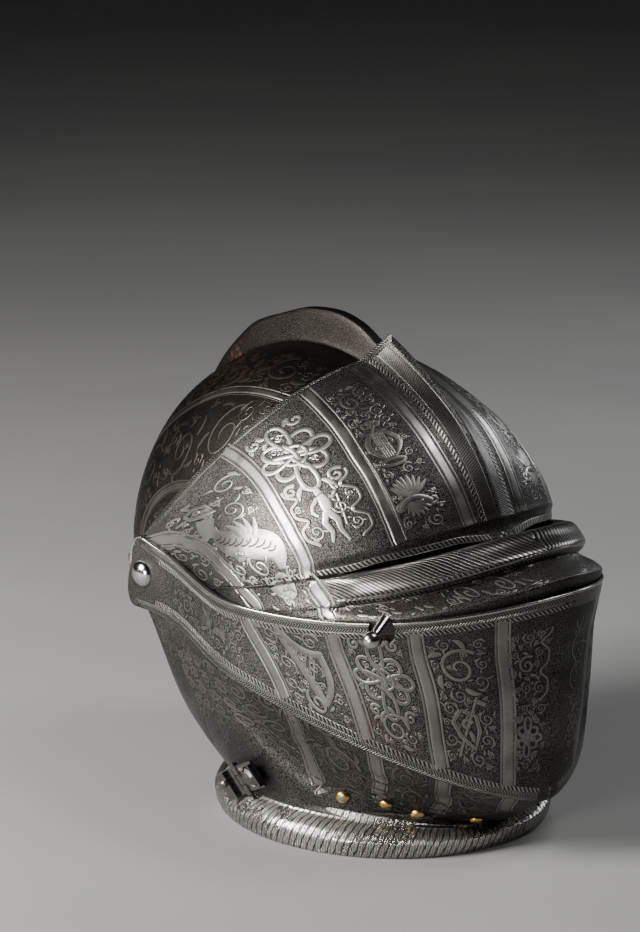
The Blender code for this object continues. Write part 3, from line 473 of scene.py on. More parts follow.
def rope_cut(distance, place, front):
    """Depth of the twist: pairs of fine grooves that lean across the section, strongest
    on the upper slope and the lower band and none on the sharp equator."""
    phase = distance / 5.6 + 0.55 * place
    groove = np.clip(np.cos(2 * math.pi * phase), 0, 1) ** 3
    fine = np.clip(np.cos(2 * math.pi * (phase + 0.2)), 0, 1) ** 8
    band = ease(place, 0.8, 1.4) * (1 - ease(place, 3.5, 3.9)) \
        + ease(place, 4.1, 4.4) * (1 - ease(place, 5.6, 6.0))
    return (0.24 * groove + 0.14 * fine) * band * (1.0 if front else 0.35)


def collar_half(name, front, body):
    section, loop = rim_section(34)
    out, high = section[None, :, 0], section[None, :, 1]
    seam = (PIVOT_HEIGHT - high) / math.tan(math.radians(-SEAM_ANGLE))
    seam = seam + (0.5 if front else -0.5)
    corner = np.arccos(np.clip((seam - NECK_REACH) / (NECK_HALF_LENGTH + out), -1, 1))
    sweep = np.linspace(-1, 1, 420 if front else 240)[:, None]
    turn = corner * sweep if front else math.pi + (math.pi - corner) * sweep
    dip = neck_drop(NECK_REACH + NECK_HALF_LENGTH * np.cos(turn)) - neck_drop(0.0)
    squat = 1 - dip / (COLLAR_HEIGHT - COLLAR_EQUATOR)
    inside = loop[None, :] > 6.5
    high = np.where(high > COLLAR_EQUATOR, COLLAR_EQUATOR + (high - COLLAR_EQUATOR) * squat
                    - inside * (1 - squat) * 0.9, high)
    distance = turn * 90.0
    cut = rope_cut(distance, np.minimum(loop, 6.0)[None, :], front) * ~inside
    normal = np.stack([np.sin(turn) / NECK_HALF_WIDTH, np.cos(turn) / NECK_HALF_LENGTH], axis=-1)
    normal = normal / np.linalg.norm(normal, axis=-1, keepdims=True)
    lean = np.gradient(section, axis=0)
    lean = lean / np.linalg.norm(lean, axis=-1, keepdims=True)
    out = out - cut * -lean[None, :, 1]
    high = high - cut * lean[None, :, 0]
    x = NECK_HALF_WIDTH * np.sin(turn) + out * normal[..., 0]
    f = NECK_REACH + NECK_HALF_LENGTH * np.cos(turn) + out * normal[..., 1]
    points = np.stack([x, PIVOT_BACK - f, np.maximum(high, 0.02)], axis=-1) * MM
    rows, columns = points.shape[:2]
    points = np.concatenate([points, points[:, :1]], axis=1)
    share = np.minimum(loop, 6.0)[None, :] / 3 - 1
    uv = np.stack(np.broadcast_arrays(distance * MM, share), axis=-1)
    uv = np.concatenate([uv, uv[:, :1]], axis=1)
    faces = grid_faces(rows, columns + 1).tolist()
    last = (rows - 1) * (columns + 1)
    ends = [list(range(columns)), list(range(last, last + columns))]
    mesh = bpy.data.meshes.new(name)
    mesh.from_pydata(points.reshape(-1, 3), [], faces + ends)
    add_uv(mesh, uv)
    mend(mesh, 0.000005)
    mesh.shade_smooth()
    mesh.set_sharp_from_angle(angle=math.radians(50))
    return placed(name, mesh, body)


collar_front = collar_half("collar_rope_front", True, "lower_bevor")
collar_rear = collar_half("collar_rope_rear", False, "skull")
print("collar:", len(collar_front.data.polygons) + len(collar_rear.data.polygons), "faces")

# %% [markdown]
# Italian etchers covered the bright steel with wax, drew plain bands, borders and figures
# in it, and let acid sink and blacken the ground between them. The drawing is what stays
# high. So each band and each line is a thin strip of steel that stands a tenth of a
# millimetre over the plate, with its edges sunk into it. A strip is a profile carried
# along a path, and both follow the plate's own function of row and column.

# %% Strips laid on a plate
def tangents(chart, row, column, row_step):
    """Change of place for one row and for one column, by small differences; the column's
    is taken inwards because the plate ends on the middle plane."""
    here = chart(row, column)
    down = (chart(row + row_step, column) - here) / row_step
    inward = 0.002
    out = (here - chart(row, column - inward)) / inward
    return here, down, out


def face_out(here, down, out):
    normal = np.cross(down, out)
    normal = normal / np.maximum(np.linalg.norm(normal, axis=-1, keepdims=True), 1e-12)
    away = ((here - HEART) * normal).sum(axis=-1, keepdims=True)
    return np.where(away < 0, -normal, normal)


def strip(chart, row, column, half, profile, row_step=0.01, lift=0.0, last=1.0):
    """Points of a strip: at each place of the path, the profile's (across, height) pairs
    go sideways in the plate, by solving for the change of row and column, and up along
    the plate's normal. half and lift are in millimetres; last is the highest column."""
    here, down, out = tangents(chart, row, column, row_step)
    normal = face_out(here, down, out)
    ahead = np.gradient(here, axis=0)
    ahead = ahead / np.maximum(np.linalg.norm(ahead, axis=-1, keepdims=True), 1e-12)
    sideways = np.cross(normal, ahead) * (np.asarray(half) * MM)[..., None]
    dd, do, oo = ((a * b).sum(-1) for a, b in ((down, down), (down, out), (out, out)))
    ds, os_ = (down * sideways).sum(-1), (out * sideways).sum(-1)
    size = np.maximum(dd * oo - do * do, 1e-16)
    row_part = (ds * oo - os_ * do) / size
    column_part = (os_ * dd - ds * do) / size
    across = np.array([p[0] for p in profile])[None, :]
    height = (np.array([p[1] for p in profile])[None, :, None]
              + np.broadcast_to(lift, row.shape)[:, None, None]) * MM
    rows = row[:, None] + row_part[:, None] * across
    columns = np.minimum(column[:, None] + column_part[:, None] * across, last)
    place, down, out = tangents(chart, rows, columns, row_step)
    return place + face_out(place, down, out) * height


def gather(pile, points, across, skip=None):
    """Adds a strip's grid, and its mirror image, to a pile of strips. Its UV is the
    distance along in metres and the share across from -1 to 1. Cells whose middle is
    in the place that skip tells are left out."""
    steps = np.linalg.norm(np.diff(points.mean(axis=1), axis=0), axis=-1)
    distance = np.concatenate([[0.0], np.cumsum(steps)])
    uv = np.stack(np.broadcast_arrays(distance[:, None], across), axis=-1).reshape(-1, 2)
    for flip in (1.0, -1.0):
        grid = points * np.array([flip, 1.0, 1.0])
        middles = 0.5 * (grid[:-1, :-1] + grid[1:, 1:])
        faces = grid_faces(*points.shape[:2], None if skip is None else ~skip(middles))
        middle = len(points) // 2
        turned = np.cross(grid[middle, -1] - grid[middle, 0], grid[middle] - grid[middle - 1])
        if (turned.sum(axis=0) * (grid[middle, 0] - HEART)).sum() > 0:
            faces = faces[:, ::-1]
        pile["faces"].append(faces + pile["count"])
        pile["points"].append(grid.reshape(-1, 3))
        pile["uv"].append(uv)
        pile["count"] += grid.shape[0] * grid.shape[1]


def new_pile():
    return {"points": [], "faces": [], "uv": [], "count": 0}


def strips_piece(name, pile, body, finish):
    """One object from a pile of strips, with its UV map."""
    mesh = bpy.data.meshes.new(name)
    fill_mesh(mesh, np.concatenate(pile["points"]), np.concatenate(pile["faces"]))
    add_uv(mesh, np.concatenate(pile["uv"]))
    mesh.materials.append(finish)
    placed(name, mesh, body)
    print(name, len(mesh.polygons), "faces")


# %% [markdown]
# Steel is never one flat grey. Four effects are shared by the finishes, so each is a node
# group: the patina's brown clouds, the grained ground that the acid left, the slanting
# cuts of rope and herringbone borders, and the fine scratches of cleaning.

# %% Node groups for the finishes
def new_group(name, inputs, outputs):
    """A shader node group with named value inputs and named outputs."""
    group = bpy.data.node_groups.new(name, "ShaderNodeTree")
    for label, value in inputs.items():
        socket = group.interface.new_socket(label, in_out="INPUT", socket_type="NodeSocketFloat")
        socket.default_value = value
    for label in outputs:
        group.interface.new_socket(label, in_out="OUTPUT", socket_type="NodeSocketFloat")
    return group, group.nodes.new("NodeGroupInput"), group.nodes.new("NodeGroupOutput")


def put(tree, kind, links=None, **settings):
    """A node with its settings made and its inputs joined or filled."""
    node = tree.nodes.new(kind)
    for label, value in settings.items():
        setattr(node, label, value)
    for label, value in (links or {}).items():
        if isinstance(value, bpy.types.NodeSocket):
            tree.links.new(value, node.inputs[label])
        else:
            node.inputs[label].default_value = value
    return node


def give(group, result, **outputs):
    for label, value in outputs.items():
        group.links.new(value, result.inputs[label])


def maths(tree, operation, first, second=0.0, third=0.0):
    return put(tree, "ShaderNodeMath", {0: first, 1: second, 2: third},
               operation=operation).outputs[0]


def spread(tree, value, low, high, start=0.0, end=1.0):
    """Smooth step of a value from low to high."""
    return put(tree, "ShaderNodeMapRange", {"Value": value, "From Min": low, "From Max": high,
                                            "To Min": start, "To Max": end},
               interpolation_type="SMOOTHSTEP").outputs["Result"]


def noise(tree, scale, detail=3.0, roughness=0.55, vector=None):
    place = vector or put(tree, "ShaderNodeTexCoord").outputs["Object"]
    return put(tree, "ShaderNodeTexNoise", {"Vector": place, "Scale": scale, "Detail": detail,
                                            "Roughness": roughness}).outputs["Fac"]


patina_group, inside, result = new_group("patina", {"Amount": 0.5}, ("Cloud", "Russet", "Worn"))
cloud = spread(patina_group, noise(patina_group, 38.0, 5.0), 0.38, 0.62)
speck = spread(patina_group, noise(patina_group, 260.0, 3.0), 0.45, 0.7)
deep = spread(patina_group, noise(patina_group, 17.0, 6.0, 0.7), 0.56, 0.68)
russet = maths(patina_group, "MULTIPLY", maths(patina_group, "MULTIPLY", deep, speck),
               inside.outputs["Amount"])
worn = spread(patina_group, noise(patina_group, 900.0, 2.0), 0.4, 0.75)
give(patina_group, result, Cloud=cloud, Russet=russet, Worn=worn)

grain_group, inside, result = new_group("etched grain", {"Grains": 1500.0}, ("Grain", "Pits"))
place = put(grain_group, "ShaderNodeTexCoord").outputs["Object"]
cells = put(grain_group, "ShaderNodeTexVoronoi",
            {"Vector": place, "Scale": inside.outputs["Grains"], "Randomness": 1.0})
give(grain_group, result, Grain=spread(grain_group, cells.outputs["Distance"], 0.5, 0.12),
     Pits=spread(grain_group, noise(grain_group, 1700.0, 1.0), 0.46, 0.56))

cuts_group, inside, result = new_group(
    "slanting cuts", {"Pitch": 0.0015, "Slant": 0.6, "Mirror": 0.0, "Sharp": 0.3, "Level": 0.0,
                      "Wobble": 0.25}, ("Ridge",))
uv = put(cuts_group, "ShaderNodeUVMap", uv_map="along").outputs["UV"]
split = put(cuts_group, "ShaderNodeSeparateXYZ", {"Vector": uv})
folded = maths(cuts_group, "ABSOLUTE", split.outputs["Y"])
side = put(cuts_group, "ShaderNodeMix", {"Factor": inside.outputs["Mirror"],
                                         "A": split.outputs["Y"], "B": folded}).outputs["Result"]
phase = maths(cuts_group, "ADD",
              maths(cuts_group, "DIVIDE", split.outputs["X"], inside.outputs["Pitch"]),
              maths(cuts_group, "MULTIPLY", side, inside.outputs["Slant"]))
drift = maths(cuts_group, "MULTIPLY", noise(cuts_group, 220.0, 2.0), inside.outputs["Wobble"])
phase = maths(cuts_group, "ADD", phase, drift)
wave = maths(cuts_group, "SINE", maths(cuts_group, "MULTIPLY", phase, 2 * math.pi))
level, sharp = inside.outputs["Level"], inside.outputs["Sharp"]
ridge = put(cuts_group, "ShaderNodeMapRange",
            {"Value": wave, "From Min": maths(cuts_group, "SUBTRACT", level, sharp),
             "From Max": maths(cuts_group, "ADD", level, sharp)}, interpolation_type="SMOOTHSTEP")
give(cuts_group, result, Ridge=ridge.outputs["Result"])

scratch_group, inside, result = new_group("cleaning scratches", {"Density": 0.5}, ("Scratch",))
place = put(scratch_group, "ShaderNodeTexCoord").outputs["Object"]
drawn = put(scratch_group, "ShaderNodeMapping", {"Vector": place, "Scale": (60.0, 700.0, 90.0),
                                                 "Rotation": (0.5, 0.3, 0.7)}).outputs["Vector"]
lines = spread(scratch_group, noise(scratch_group, 9.0, 4.0, 0.7, drawn), 0.55, 0.66)
give(scratch_group, result,
     Scratch=maths(scratch_group, "MULTIPLY", lines, inside.outputs["Density"]))
print("groups:", [group.name for group in bpy.data.node_groups])


# %% [markdown]
# The finishes. The ground is nearly black, with grains that catch the light. The drawing
# is warm grey steel, rubbed bright on its high places and dark down its sides, where
# the blacking stays. Where a strip has grooves, its share across says where they are.

# %% Finishes of the steel
def effect(tree, group, **values):
    node = tree.nodes.new("ShaderNodeGroup")
    node.node_tree = group
    for label, value in values.items():
        node.inputs[label].default_value = value
    return node.outputs


def shade(colour, share):
    return tuple(min(1.0, share * part) for part in colour)


def mixed(tree, factor, first, second):
    """Mix of two colours; each may be a colour or a socket."""
    node = put(tree, "ShaderNodeMix", data_type="RGBA")
    for index, value in ((0, factor), (6, first), (7, second)):
        if isinstance(value, bpy.types.NodeSocket):
            tree.links.new(value, node.inputs[index])
        else:
            node.inputs[index].default_value = value if index == 0 else (*value, 1.0)
    return node.outputs[2]


def new_finish(name, metallic=1.0):
    finish = bpy.data.materials.new(name)
    finish.use_nodes = True
    tree = finish.node_tree
    shader = tree.nodes["Principled BSDF"]
    shader.inputs["Metallic"].default_value = metallic
    return finish, tree, shader


def across_share(tree):
    """A strip's share across, from 0 in the middle to 1 at both edges, from its UV."""
    uv = put(tree, "ShaderNodeUVMap", uv_map="along").outputs["UV"]
    return maths(tree, "ABSOLUTE", put(tree, "ShaderNodeSeparateXYZ", {"Vector": uv}).outputs["Y"])


def bumped(tree, shader, height, strength, distance):
    bump = put(tree, "ShaderNodeBump", {"Height": height, "Strength": strength,
                                        "Distance": distance})
    tree.links.new(bump.outputs["Normal"], shader.inputs["Normal"])


RUSSET, INK, DULL = (0.13, 0.055, 0.028), (0.012, 0.011, 0.010), (0.05, 0.045, 0.04)


def ground_finish(name, dark, light, russet, roughness):
    """Grained, blackened ground with brown clouds."""
    finish, tree, shader = new_finish(name, 0.92)
    grain = effect(tree, grain_group, Grains=1500.0)
    patina = effect(tree, patina_group, Amount=russet)
    bright = maths(tree, "MAXIMUM", maths(tree, "MULTIPLY", grain["Grain"], grain["Pits"]),
                   maths(tree, "MULTIPLY", grain["Pits"], 0.55))
    steel = mixed(tree, bright, dark, light)
    cloudy = mixed(tree, patina["Cloud"], mixed(tree, 0.45, steel, dark), steel)
    rusty = mixed(tree, patina["Russet"], cloudy, RUSSET)
    tree.links.new(rusty, shader.inputs["Base Color"])
    tree.links.new(spread(tree, patina["Cloud"], 0.0, 1.0, roughness + 0.1, roughness),
                   shader.inputs["Roughness"])
    bumped(tree, shader, bright, 0.55, 0.00012)
    return finish


def drawn_finish(name, steel, grooves, russet, roughness, edge):
    """Bright drawing: dark sides past the edge share, and dark grooves between shares."""
    finish, tree, shader = new_finish(name)
    patina = effect(tree, patina_group, Amount=russet)
    scratch = effect(tree, scratch_group, Density=0.6)
    share = across_share(tree)
    inked = spread(tree, share, edge, edge + 0.14)
    for start, end in grooves:
        wide = 0.3 * (end - start)
        groove = maths(tree, "MULTIPLY", spread(tree, share, start, start + wide),
                       spread(tree, share, end, end - wide))
        inked = maths(tree, "MAXIMUM", inked, groove)
    tone = mixed(tree, patina["Cloud"], shade(steel, 0.62), steel)
    tone = mixed(tree, maths(tree, "MULTIPLY", patina["Worn"], 0.3), tone, shade(steel, 0.5))
    tone = mixed(tree, scratch["Scratch"], tone, shade(steel, 1.35))
    tone = mixed(tree, patina["Russet"], tone, RUSSET)
    tree.links.new(mixed(tree, inked, tone, INK), shader.inputs["Base Color"])
    rough = maths(tree, "ADD", spread(tree, patina["Cloud"], 0.0, 1.0, roughness + 0.12, roughness),
                  maths(tree, "MULTIPLY", inked, 0.25))
    tree.links.new(rough, shader.inputs["Roughness"])
    bumped(tree, shader, maths(tree, "ADD", scratch["Scratch"], patina["Worn"]), 0.12, 0.00006)
    return finish


def border_finish(name, dark, steel, pitch, slant, mirror=0.0, roughness=0.34):
    """Border of slanting cuts, with a plain line at its edges. A mirror turns the slant
    round at the middle, with a groove there."""
    finish, tree, shader = new_finish(name)
    cuts = effect(tree, cuts_group, Pitch=pitch, Slant=slant, Mirror=mirror, Sharp=0.45)
    patina = effect(tree, patina_group, Amount=0.4)
    share = across_share(tree)
    high = maths(tree, "MAXIMUM", cuts["Ridge"], spread(tree, share, 0.8, 0.86))
    high = maths(tree, "MULTIPLY", high, spread(tree, share, 0.98, 0.92))
    if mirror:
        high = maths(tree, "MULTIPLY", high, spread(tree, share, 0.02, 0.08))
    tone = mixed(tree, patina["Cloud"], shade(steel, 0.7), steel)
    tone = mixed(tree, patina["Russet"], tone, RUSSET)
    tree.links.new(mixed(tree, high, dark, tone), shader.inputs["Base Color"])
    shader.inputs["Roughness"].default_value = roughness
    bumped(tree, shader, high, 0.9, 0.00025)
    return finish


def polished_finish(name, steel, roughness, speckle=0.3):
    """Plain polished metal with faint scratches and dull specks."""
    finish, tree, shader = new_finish(name)
    patina = effect(tree, patina_group, Amount=0.25)
    scratch = effect(tree, scratch_group, Density=0.8)
    tone = mixed(tree, maths(tree, "MULTIPLY", patina["Worn"], speckle), steel, DULL)
    tree.links.new(mixed(tree, patina["Russet"], tone, RUSSET), shader.inputs["Base Color"])
    tree.links.new(spread(tree, scratch["Scratch"], 0.0, 1.0, roughness, roughness + 0.2),
                   shader.inputs["Roughness"])
    bumped(tree, shader, scratch["Scratch"], 0.08, 0.00005)
    return finish


def roped_finish(name, steel, roughness, depth):
    """Polished steel crossed by hand-cut slanting lines at two spacings."""
    finish, tree, shader = new_finish(name)
    patina = effect(tree, patina_group, Amount=0.7)
    scratch = effect(tree, scratch_group, Density=0.8)
    wide = effect(tree, cuts_group, Pitch=0.0038, Slant=1.5, Sharp=0.14, Level=-0.78, Wobble=0.5)
    fine = effect(tree, cuts_group, Pitch=0.0014, Slant=1.9, Sharp=0.2, Level=-0.8, Wobble=0.5)
    high = maths(tree, "MULTIPLY", wide["Ridge"], fine["Ridge"])
    tone = mixed(tree, maths(tree, "MULTIPLY", patina["Worn"], 0.45), steel, shade(steel, 0.3))
    tone = mixed(tree, patina["Russet"], tone, RUSSET)
    tree.links.new(mixed(tree, high, shade(steel, 0.1), tone), shader.inputs["Base Color"])
    tree.links.new(spread(tree, patina["Cloud"], 0.0, 1.0, roughness + 0.14, roughness),
                   shader.inputs["Roughness"])
    bumped(tree, shader, maths(tree, "ADD", high, scratch["Scratch"]), depth, 0.00018)
    return finish


PLAIN, CUT_LINES, MIDDLE_LINE = (), ((0.56, 0.68),), ((-0.3, 0.12),)
plate_ground = ground_finish("plate_ground", (0.014, 0.013, 0.012), (0.22, 0.209, 0.194), 0.5, 0.36)
skull_ground = ground_finish("skull_ground", (0.010, 0.0085, 0.0075), (0.045, 0.038, 0.033), 1.0,
                             0.33)
plain_band = drawn_finish("plain_band", (0.38, 0.36, 0.338), CUT_LINES, 0.5, 0.27, 0.84)
# bevor_band is the plain band in darker steel with more russet: the russet is patina, the darker
# steel is painted shade on both bevors, which face down
bevor_band = drawn_finish("bevor_band", (0.25, 0.237, 0.222), CUT_LINES, 0.7, 0.29, 0.84)
skull_band = drawn_finish("skull_band", (0.11, 0.098, 0.087), CUT_LINES, 0.9, 0.33, 0.84)
drawing = drawn_finish("drawing", (0.36, 0.343, 0.32), PLAIN, 0.4, 0.32, 0.62)
# the upper bevor's drawing is the visor's drawing in darker steel: painted shade
shaded_bevor_drawing = drawn_finish("shaded_bevor_drawing", (0.235, 0.223, 0.208), PLAIN, 0.6, 0.33, 0.62)
# the lower bevor's drawing, in darker steel still: painted shade under the upper bevor
painted_shade_drawing = drawn_finish("painted_shade_drawing", (0.15, 0.14, 0.126), PLAIN, 0.9, 0.36, 0.62)
skull_drawing = drawn_finish("skull_drawing", (0.062, 0.053, 0.046), PLAIN, 0.9, 0.36, 0.62)
knot_line = drawn_finish("knot_line", (0.37, 0.353, 0.33), MIDDLE_LINE, 0.3, 0.3, 0.62)
# the upper bevor's knot straps are the visor's in darker steel: painted shade
shaded_bevor_knot = drawn_finish("shaded_bevor_knot", (0.25, 0.237, 0.222), MIDDLE_LINE, 0.5, 0.31, 0.62)
roll_cuts = border_finish("roll_cuts", (0.05, 0.047, 0.044), (0.33, 0.315, 0.295), 0.0029, 1.7,
                          roughness=0.3)
herringbone = border_finish("herringbone", (0.04, 0.038, 0.035), (0.27, 0.26, 0.24), 0.0017, 1.3,
                            1.0)
rope_line = border_finish("rope_line", (0.03, 0.028, 0.026), (0.33, 0.315, 0.295), 0.0026, 0.5)
# feathering is a border in darker steel than rope and herringbone: painted shade on the keel's
# crest
feathering = border_finish("feathering", (0.06, 0.057, 0.053), (0.15, 0.143, 0.134), 0.0015, 1.6)
lip_steel = polished_finish("lip_steel", (0.48, 0.46, 0.43), 0.2)
rope_steel = roped_finish("rope_steel", (0.46, 0.44, 0.415), 0.2, 0.8)
rope_dark = roped_finish("rope_dark", (0.13, 0.118, 0.105), 0.32, 0.5)
latch_steel = polished_finish("latch_steel", (0.20, 0.19, 0.178), 0.22, 0.6)
bright_steel = polished_finish("bright_steel", (0.55, 0.54, 0.52), 0.14)
for piece, finish in ((visor, plate_ground), (upper_bevor, plate_ground),
                      (lower_bevor, plate_ground), (skull, skull_ground),
                      (collar_front, rope_steel), (collar_rear, rope_dark), (visor, roll_cuts)):
    piece.data.materials.append(finish)
print("finishes:", len(bpy.data.materials))


# %% [markdown]
# The plain bands fan out over the plates, about where an armourer would rule them: each
# is a share of the way to the middle plane that drifts with the row. Grooves on both
# sides of a band leave a fine bright line beside it.

# %% Plain bands
BAND_PROFILE = ((-1.0, -0.03), (-0.95, 0.12), (-0.7, 0.12), (-0.66, -0.02), (-0.58, -0.02),
                (-0.54, 0.13), (-0.3, 0.14), (0.0, 0.14), (0.3, 0.14), (0.54, 0.13),
                (0.58, -0.02), (0.66, -0.02), (0.7, 0.12), (0.95, 0.12), (1.0, -0.03))
# a band: row and share along it
VISOR_BANDS = {"temple": ((2.0, 0.47), (5.5, 0.473), (10.8, 0.465), (13.2, 0.40), (15.7, 0.264),
                          (17.2, 0.179), (18.7, 0.06)),
               "side": ((1.0, 0.648), (1.6, 0.65), (4.9, 0.654), (12.2, 0.705), (13.8, 0.679),
                        (15.4, 0.65), (17.2, 0.631), (20.0, 0.592)),
               "brow": ((11.9, 0.912), (12.3, 0.911), (13.5, 0.9035), (14.9, 0.8926),
                        (16.4, 0.882), (18.0, 0.8816), (20.0, 0.886))}
UPPER_BANDS = {"cheek": ((0.0, 0.565), (0.17, 0.547), (0.45, 0.503), (0.81, 0.44), (1.0, 0.41)),
               "jaw": ((0.0, 0.75), (0.14, 0.738), (0.41, 0.709), (0.72, 0.672), (1.0, 0.64)),
               "chin": ((0.0, 0.881), (0.2, 0.867), (0.52, 0.8485), (0.85, 0.819), (1.0, 0.806)),
               "prow": ((0.0, 0.967), (0.26, 0.962), (0.54, 0.956), (0.87, 0.943), (1.0, 0.938))}
LOWER_BANDS = {"cheek": ((-36.9, 0.875), (-35.3, 0.801), (-33.1, 0.727), (-30.3, 0.661),
                         (-27.8, 0.613), (-19.8, 0.547)),
               "jaw": ((-33.4, 0.912), (-30.1, 0.83), (-25.8, 0.779), (-20.0, 0.753)),
               "chin": ((-31.9, 0.968), (-28.7, 0.92), (-25.2, 0.893), (-20.5, 0.885)),
               "prow": ((-27.0, 0.983), (-25.9, 0.98), (-22.1, 0.976))}
SKULL_BANDS = {"side": ((196.0, 0.62), (180.0, 0.66), (140.0, 0.74), (95.0, 0.80), (62.0, 0.84),
                        (52.0, 0.86)),
               "low": ((216.0, 0.25), (180.0, 0.32), (120.0, 0.40), (80.0, 0.42), (52.0, 0.42))}


def edge_path(chart, edge_row, inset, start, end, steps, row_step=0.01):
    """A path an inset in millimetres inside an edge row, towards higher rows when it is
    positive: the inset over the length of one row there, in six steps."""
    column = np.linspace(start, end, steps)
    row = np.zeros(steps) + edge_row
    step = math.copysign(row_step, inset)
    parts = 6
    for _ in range(parts):
        ahead = chart(row + step, column) - chart(row, column)
        length = np.linalg.norm(ahead, axis=-1) / MM / row_step
        row = row + inset / parts / np.maximum(length, 1e-3)
    return row, column


def band_path(table, steps, ends):
    """Row and share along a band, with its table's rows in either order, between ends."""
    table = np.array(table, float)
    table = table[np.argsort(table[:, 0])]
    rows = np.linspace(max(table[0, 0], ends[0]), min(table[-1, 0], ends[1]), steps)
    return rows, along(table, rows)


def visor_row(angle):
    """The visor's row whose angle at the sides is this one, in degrees."""
    return np.interp(angle, [entry[2] for entry in VISOR_ROWS], [entry[0] for entry in VISOR_ROWS])


def on_cheek(angle, column):
    """The visor again, with its rows told by their angle at the sides. Behind the roll
    the rows crowd together, and angles stay evenly spaced."""
    return on_visor(visor_row(angle), column)


def by_angle(table):
    """A band's table with its rows turned into angles at the sides."""
    return tuple((float(along(VISOR_ROWS, row, 2)), share) for row, share in table)


def lay_bands(chart, bands, half, steps, row_step=0.01, ends=(-99.0, 999.0), inset=None):
    """Bands by name; an inset in millimetres ends them that far inside rows 0 and 1."""
    pile = new_pile()
    for table in bands.values():
        if inset is not None:
            ends = [edge_path(chart, edge, way * inset, *[along(table, edge)] * 2, 1)[0][0]
                    for edge, way in ((0.0, 1.0), (1.0, -1.0))]
        rows, shares = band_path(table, steps, ends)
        points = strip(chart, rows, shares, np.full(steps, half), BAND_PROFILE, row_step)
        gather(pile, points, [p[0] for p in BAND_PROFILE])
    return pile


BAND_HALF = 5.0
CHEEK_BANDS = {name: by_angle(VISOR_BANDS[name]) for name in ("temple", "side")}
for name, pile in (("visor_bands", lay_bands(on_cheek, CHEEK_BANDS, BAND_HALF, 110, 0.05,
                                             (-99.0, 52.0))),
                   ("brow_bands", lay_bands(on_visor, {"brow": VISOR_BANDS["brow"]}, BAND_HALF,
                                            110, 0.01, (11.9, 19.72)))):
    strips_piece(name, pile, "visor", plain_band)
# both bevors' bands are drawn in the darker band steel: painted shade
strips_piece("upper_bevor_bands", lay_bands(on_upper_bevor, UPPER_BANDS, BAND_HALF, 60,
                                            inset=7.4), "upper_bevor", bevor_band)
strips_piece("lower_bevor_bands", lay_bands(on_lower_bevor, LOWER_BANDS, BAND_HALF, 50),
             "lower_bevor", bevor_band)
strips_piece("skull_bands", lay_bands(on_skull, SKULL_BANDS, 3.4, 120, 0.2), "skull", skull_band)


# %% [markdown]
# Borders run along the plates' edges: herringbone and rope under the upper bevor's lip,
# the same pair along its lower edge, herringbone on the visor's rear edge, and a rope
# over the sights and another under the roll. Each keeps its distance from its edge in
# millimetres as the plate narrows to the pivot.

# %% Borders along the edges
BORDER_PROFILE = tuple((across, 0.11 * (1 - abs(across) ** 9) - 0.01)
                       for across in (-1.0, -0.9, -0.6, -0.3, 0.0, 0.3, 0.6, 0.9, 1.0))


def lay_border(pile, chart, edge_row, inset, half, start=0.08, end=1.0, steps=150,
               row_step=0.01, profile=BORDER_PROFILE, skip=None):
    row, column = edge_path(chart, edge_row, inset, start, end, steps, row_step)
    points = strip(chart, row, column, np.full(steps, half), profile, row_step)
    gather(pile, points, [p[0] for p in profile], skip)


visor_herring, visor_rope = new_pile(), new_pile()
lay_border(visor_herring, on_visor, 20.0, -2.6, 2.2, 0.2, 1.0)
sight_columns = np.linspace(0.55, 1.0, 150)
lay_border(visor_rope, on_visor, sight_edge(np.full(150, 11.0), sight_columns), 2.3, 1.9, 0.55)
lay_border(visor_rope, on_visor, 4.6, 0.9, 1.7, 0.70, 1.0)
strips_piece("visor_herringbone", visor_herring, "visor", herringbone)
strips_piece("visor_ropes", visor_rope, "visor", rope_line)

bevor_feather, bevor_rope = new_pile(), new_pile()
lay_border(bevor_feather, on_upper_bevor, 1.0, -3.9, 2.3, 0.0, steps=300, skip=in_notch)
lay_border(bevor_rope, on_upper_bevor, 1.0, -8.0, 1.5, 0.06, steps=300, skip=in_notch)
lay_border(bevor_feather, on_upper_bevor, 0.0, 2.6, 2.3, 0.0)
lay_border(bevor_rope, on_upper_bevor, 0.0, 6.7, 1.5, 0.06)
strips_piece("upper_bevor_feathering", bevor_feather, "upper_bevor", herringbone)
strips_piece("upper_bevor_ropes", bevor_rope, "upper_bevor", rope_line)

# %% [markdown]
# The upper bevor's lip is a half-round moulding, rubbed bright, along its very edge. It
# is the same strip with a round profile, and it stops at the notch for the lifting peg.

# %% Bright lip
round_across = np.sin(np.linspace(-0.5, 0.5, 9) * math.pi)
LIP_PROFILE = tuple((across, 0.62 * math.sqrt(max(0.0, 1 - across ** 2)) - 0.12)
                    for across in round_across)
lip = new_pile()
lay_border(lip, on_upper_bevor, 1.0, -0.85, 0.8, -0.9, 1.0, 300, 0.01, LIP_PROFILE, in_notch)
strips_piece("upper_bevor_lip", lip, "upper_bevor", lip_steel)


# %% [markdown]
# The drawing between the bands is made of tapering pen strokes: spirals for leaf scrolls,
# a four-looped curve for the knots, and broad strokes for beasts, shells, shields, harps
# and quivers, the stock of every workshop. A stroke is a path across a panel with a half
# width at each place, and all distances are in half widths of the panel.

# %% Pen strokes
def stroke(u, v, width, kind="line"):
    u, v = np.broadcast_arrays(np.asarray(u, float), np.asarray(v, float))
    return {"u": u, "v": v, "w": np.broadcast_to(np.asarray(width, float), u.shape), "kind": kind}


def moved(strokes, u=0.0, v=0.0, size=1.0, turn=0.0):
    """Strokes turned, scaled and shifted in their panel."""
    c, s = math.cos(turn), math.sin(turn)
    return [dict(one, u=u + size * (c * one["u"] - s * one["v"]),
                 v=v + size * (s * one["u"] + c * one["v"]), w=one["w"] * size)
            for one in strokes]


def flipped(strokes):
    return [dict(one, u=-one["u"]) for one in strokes]


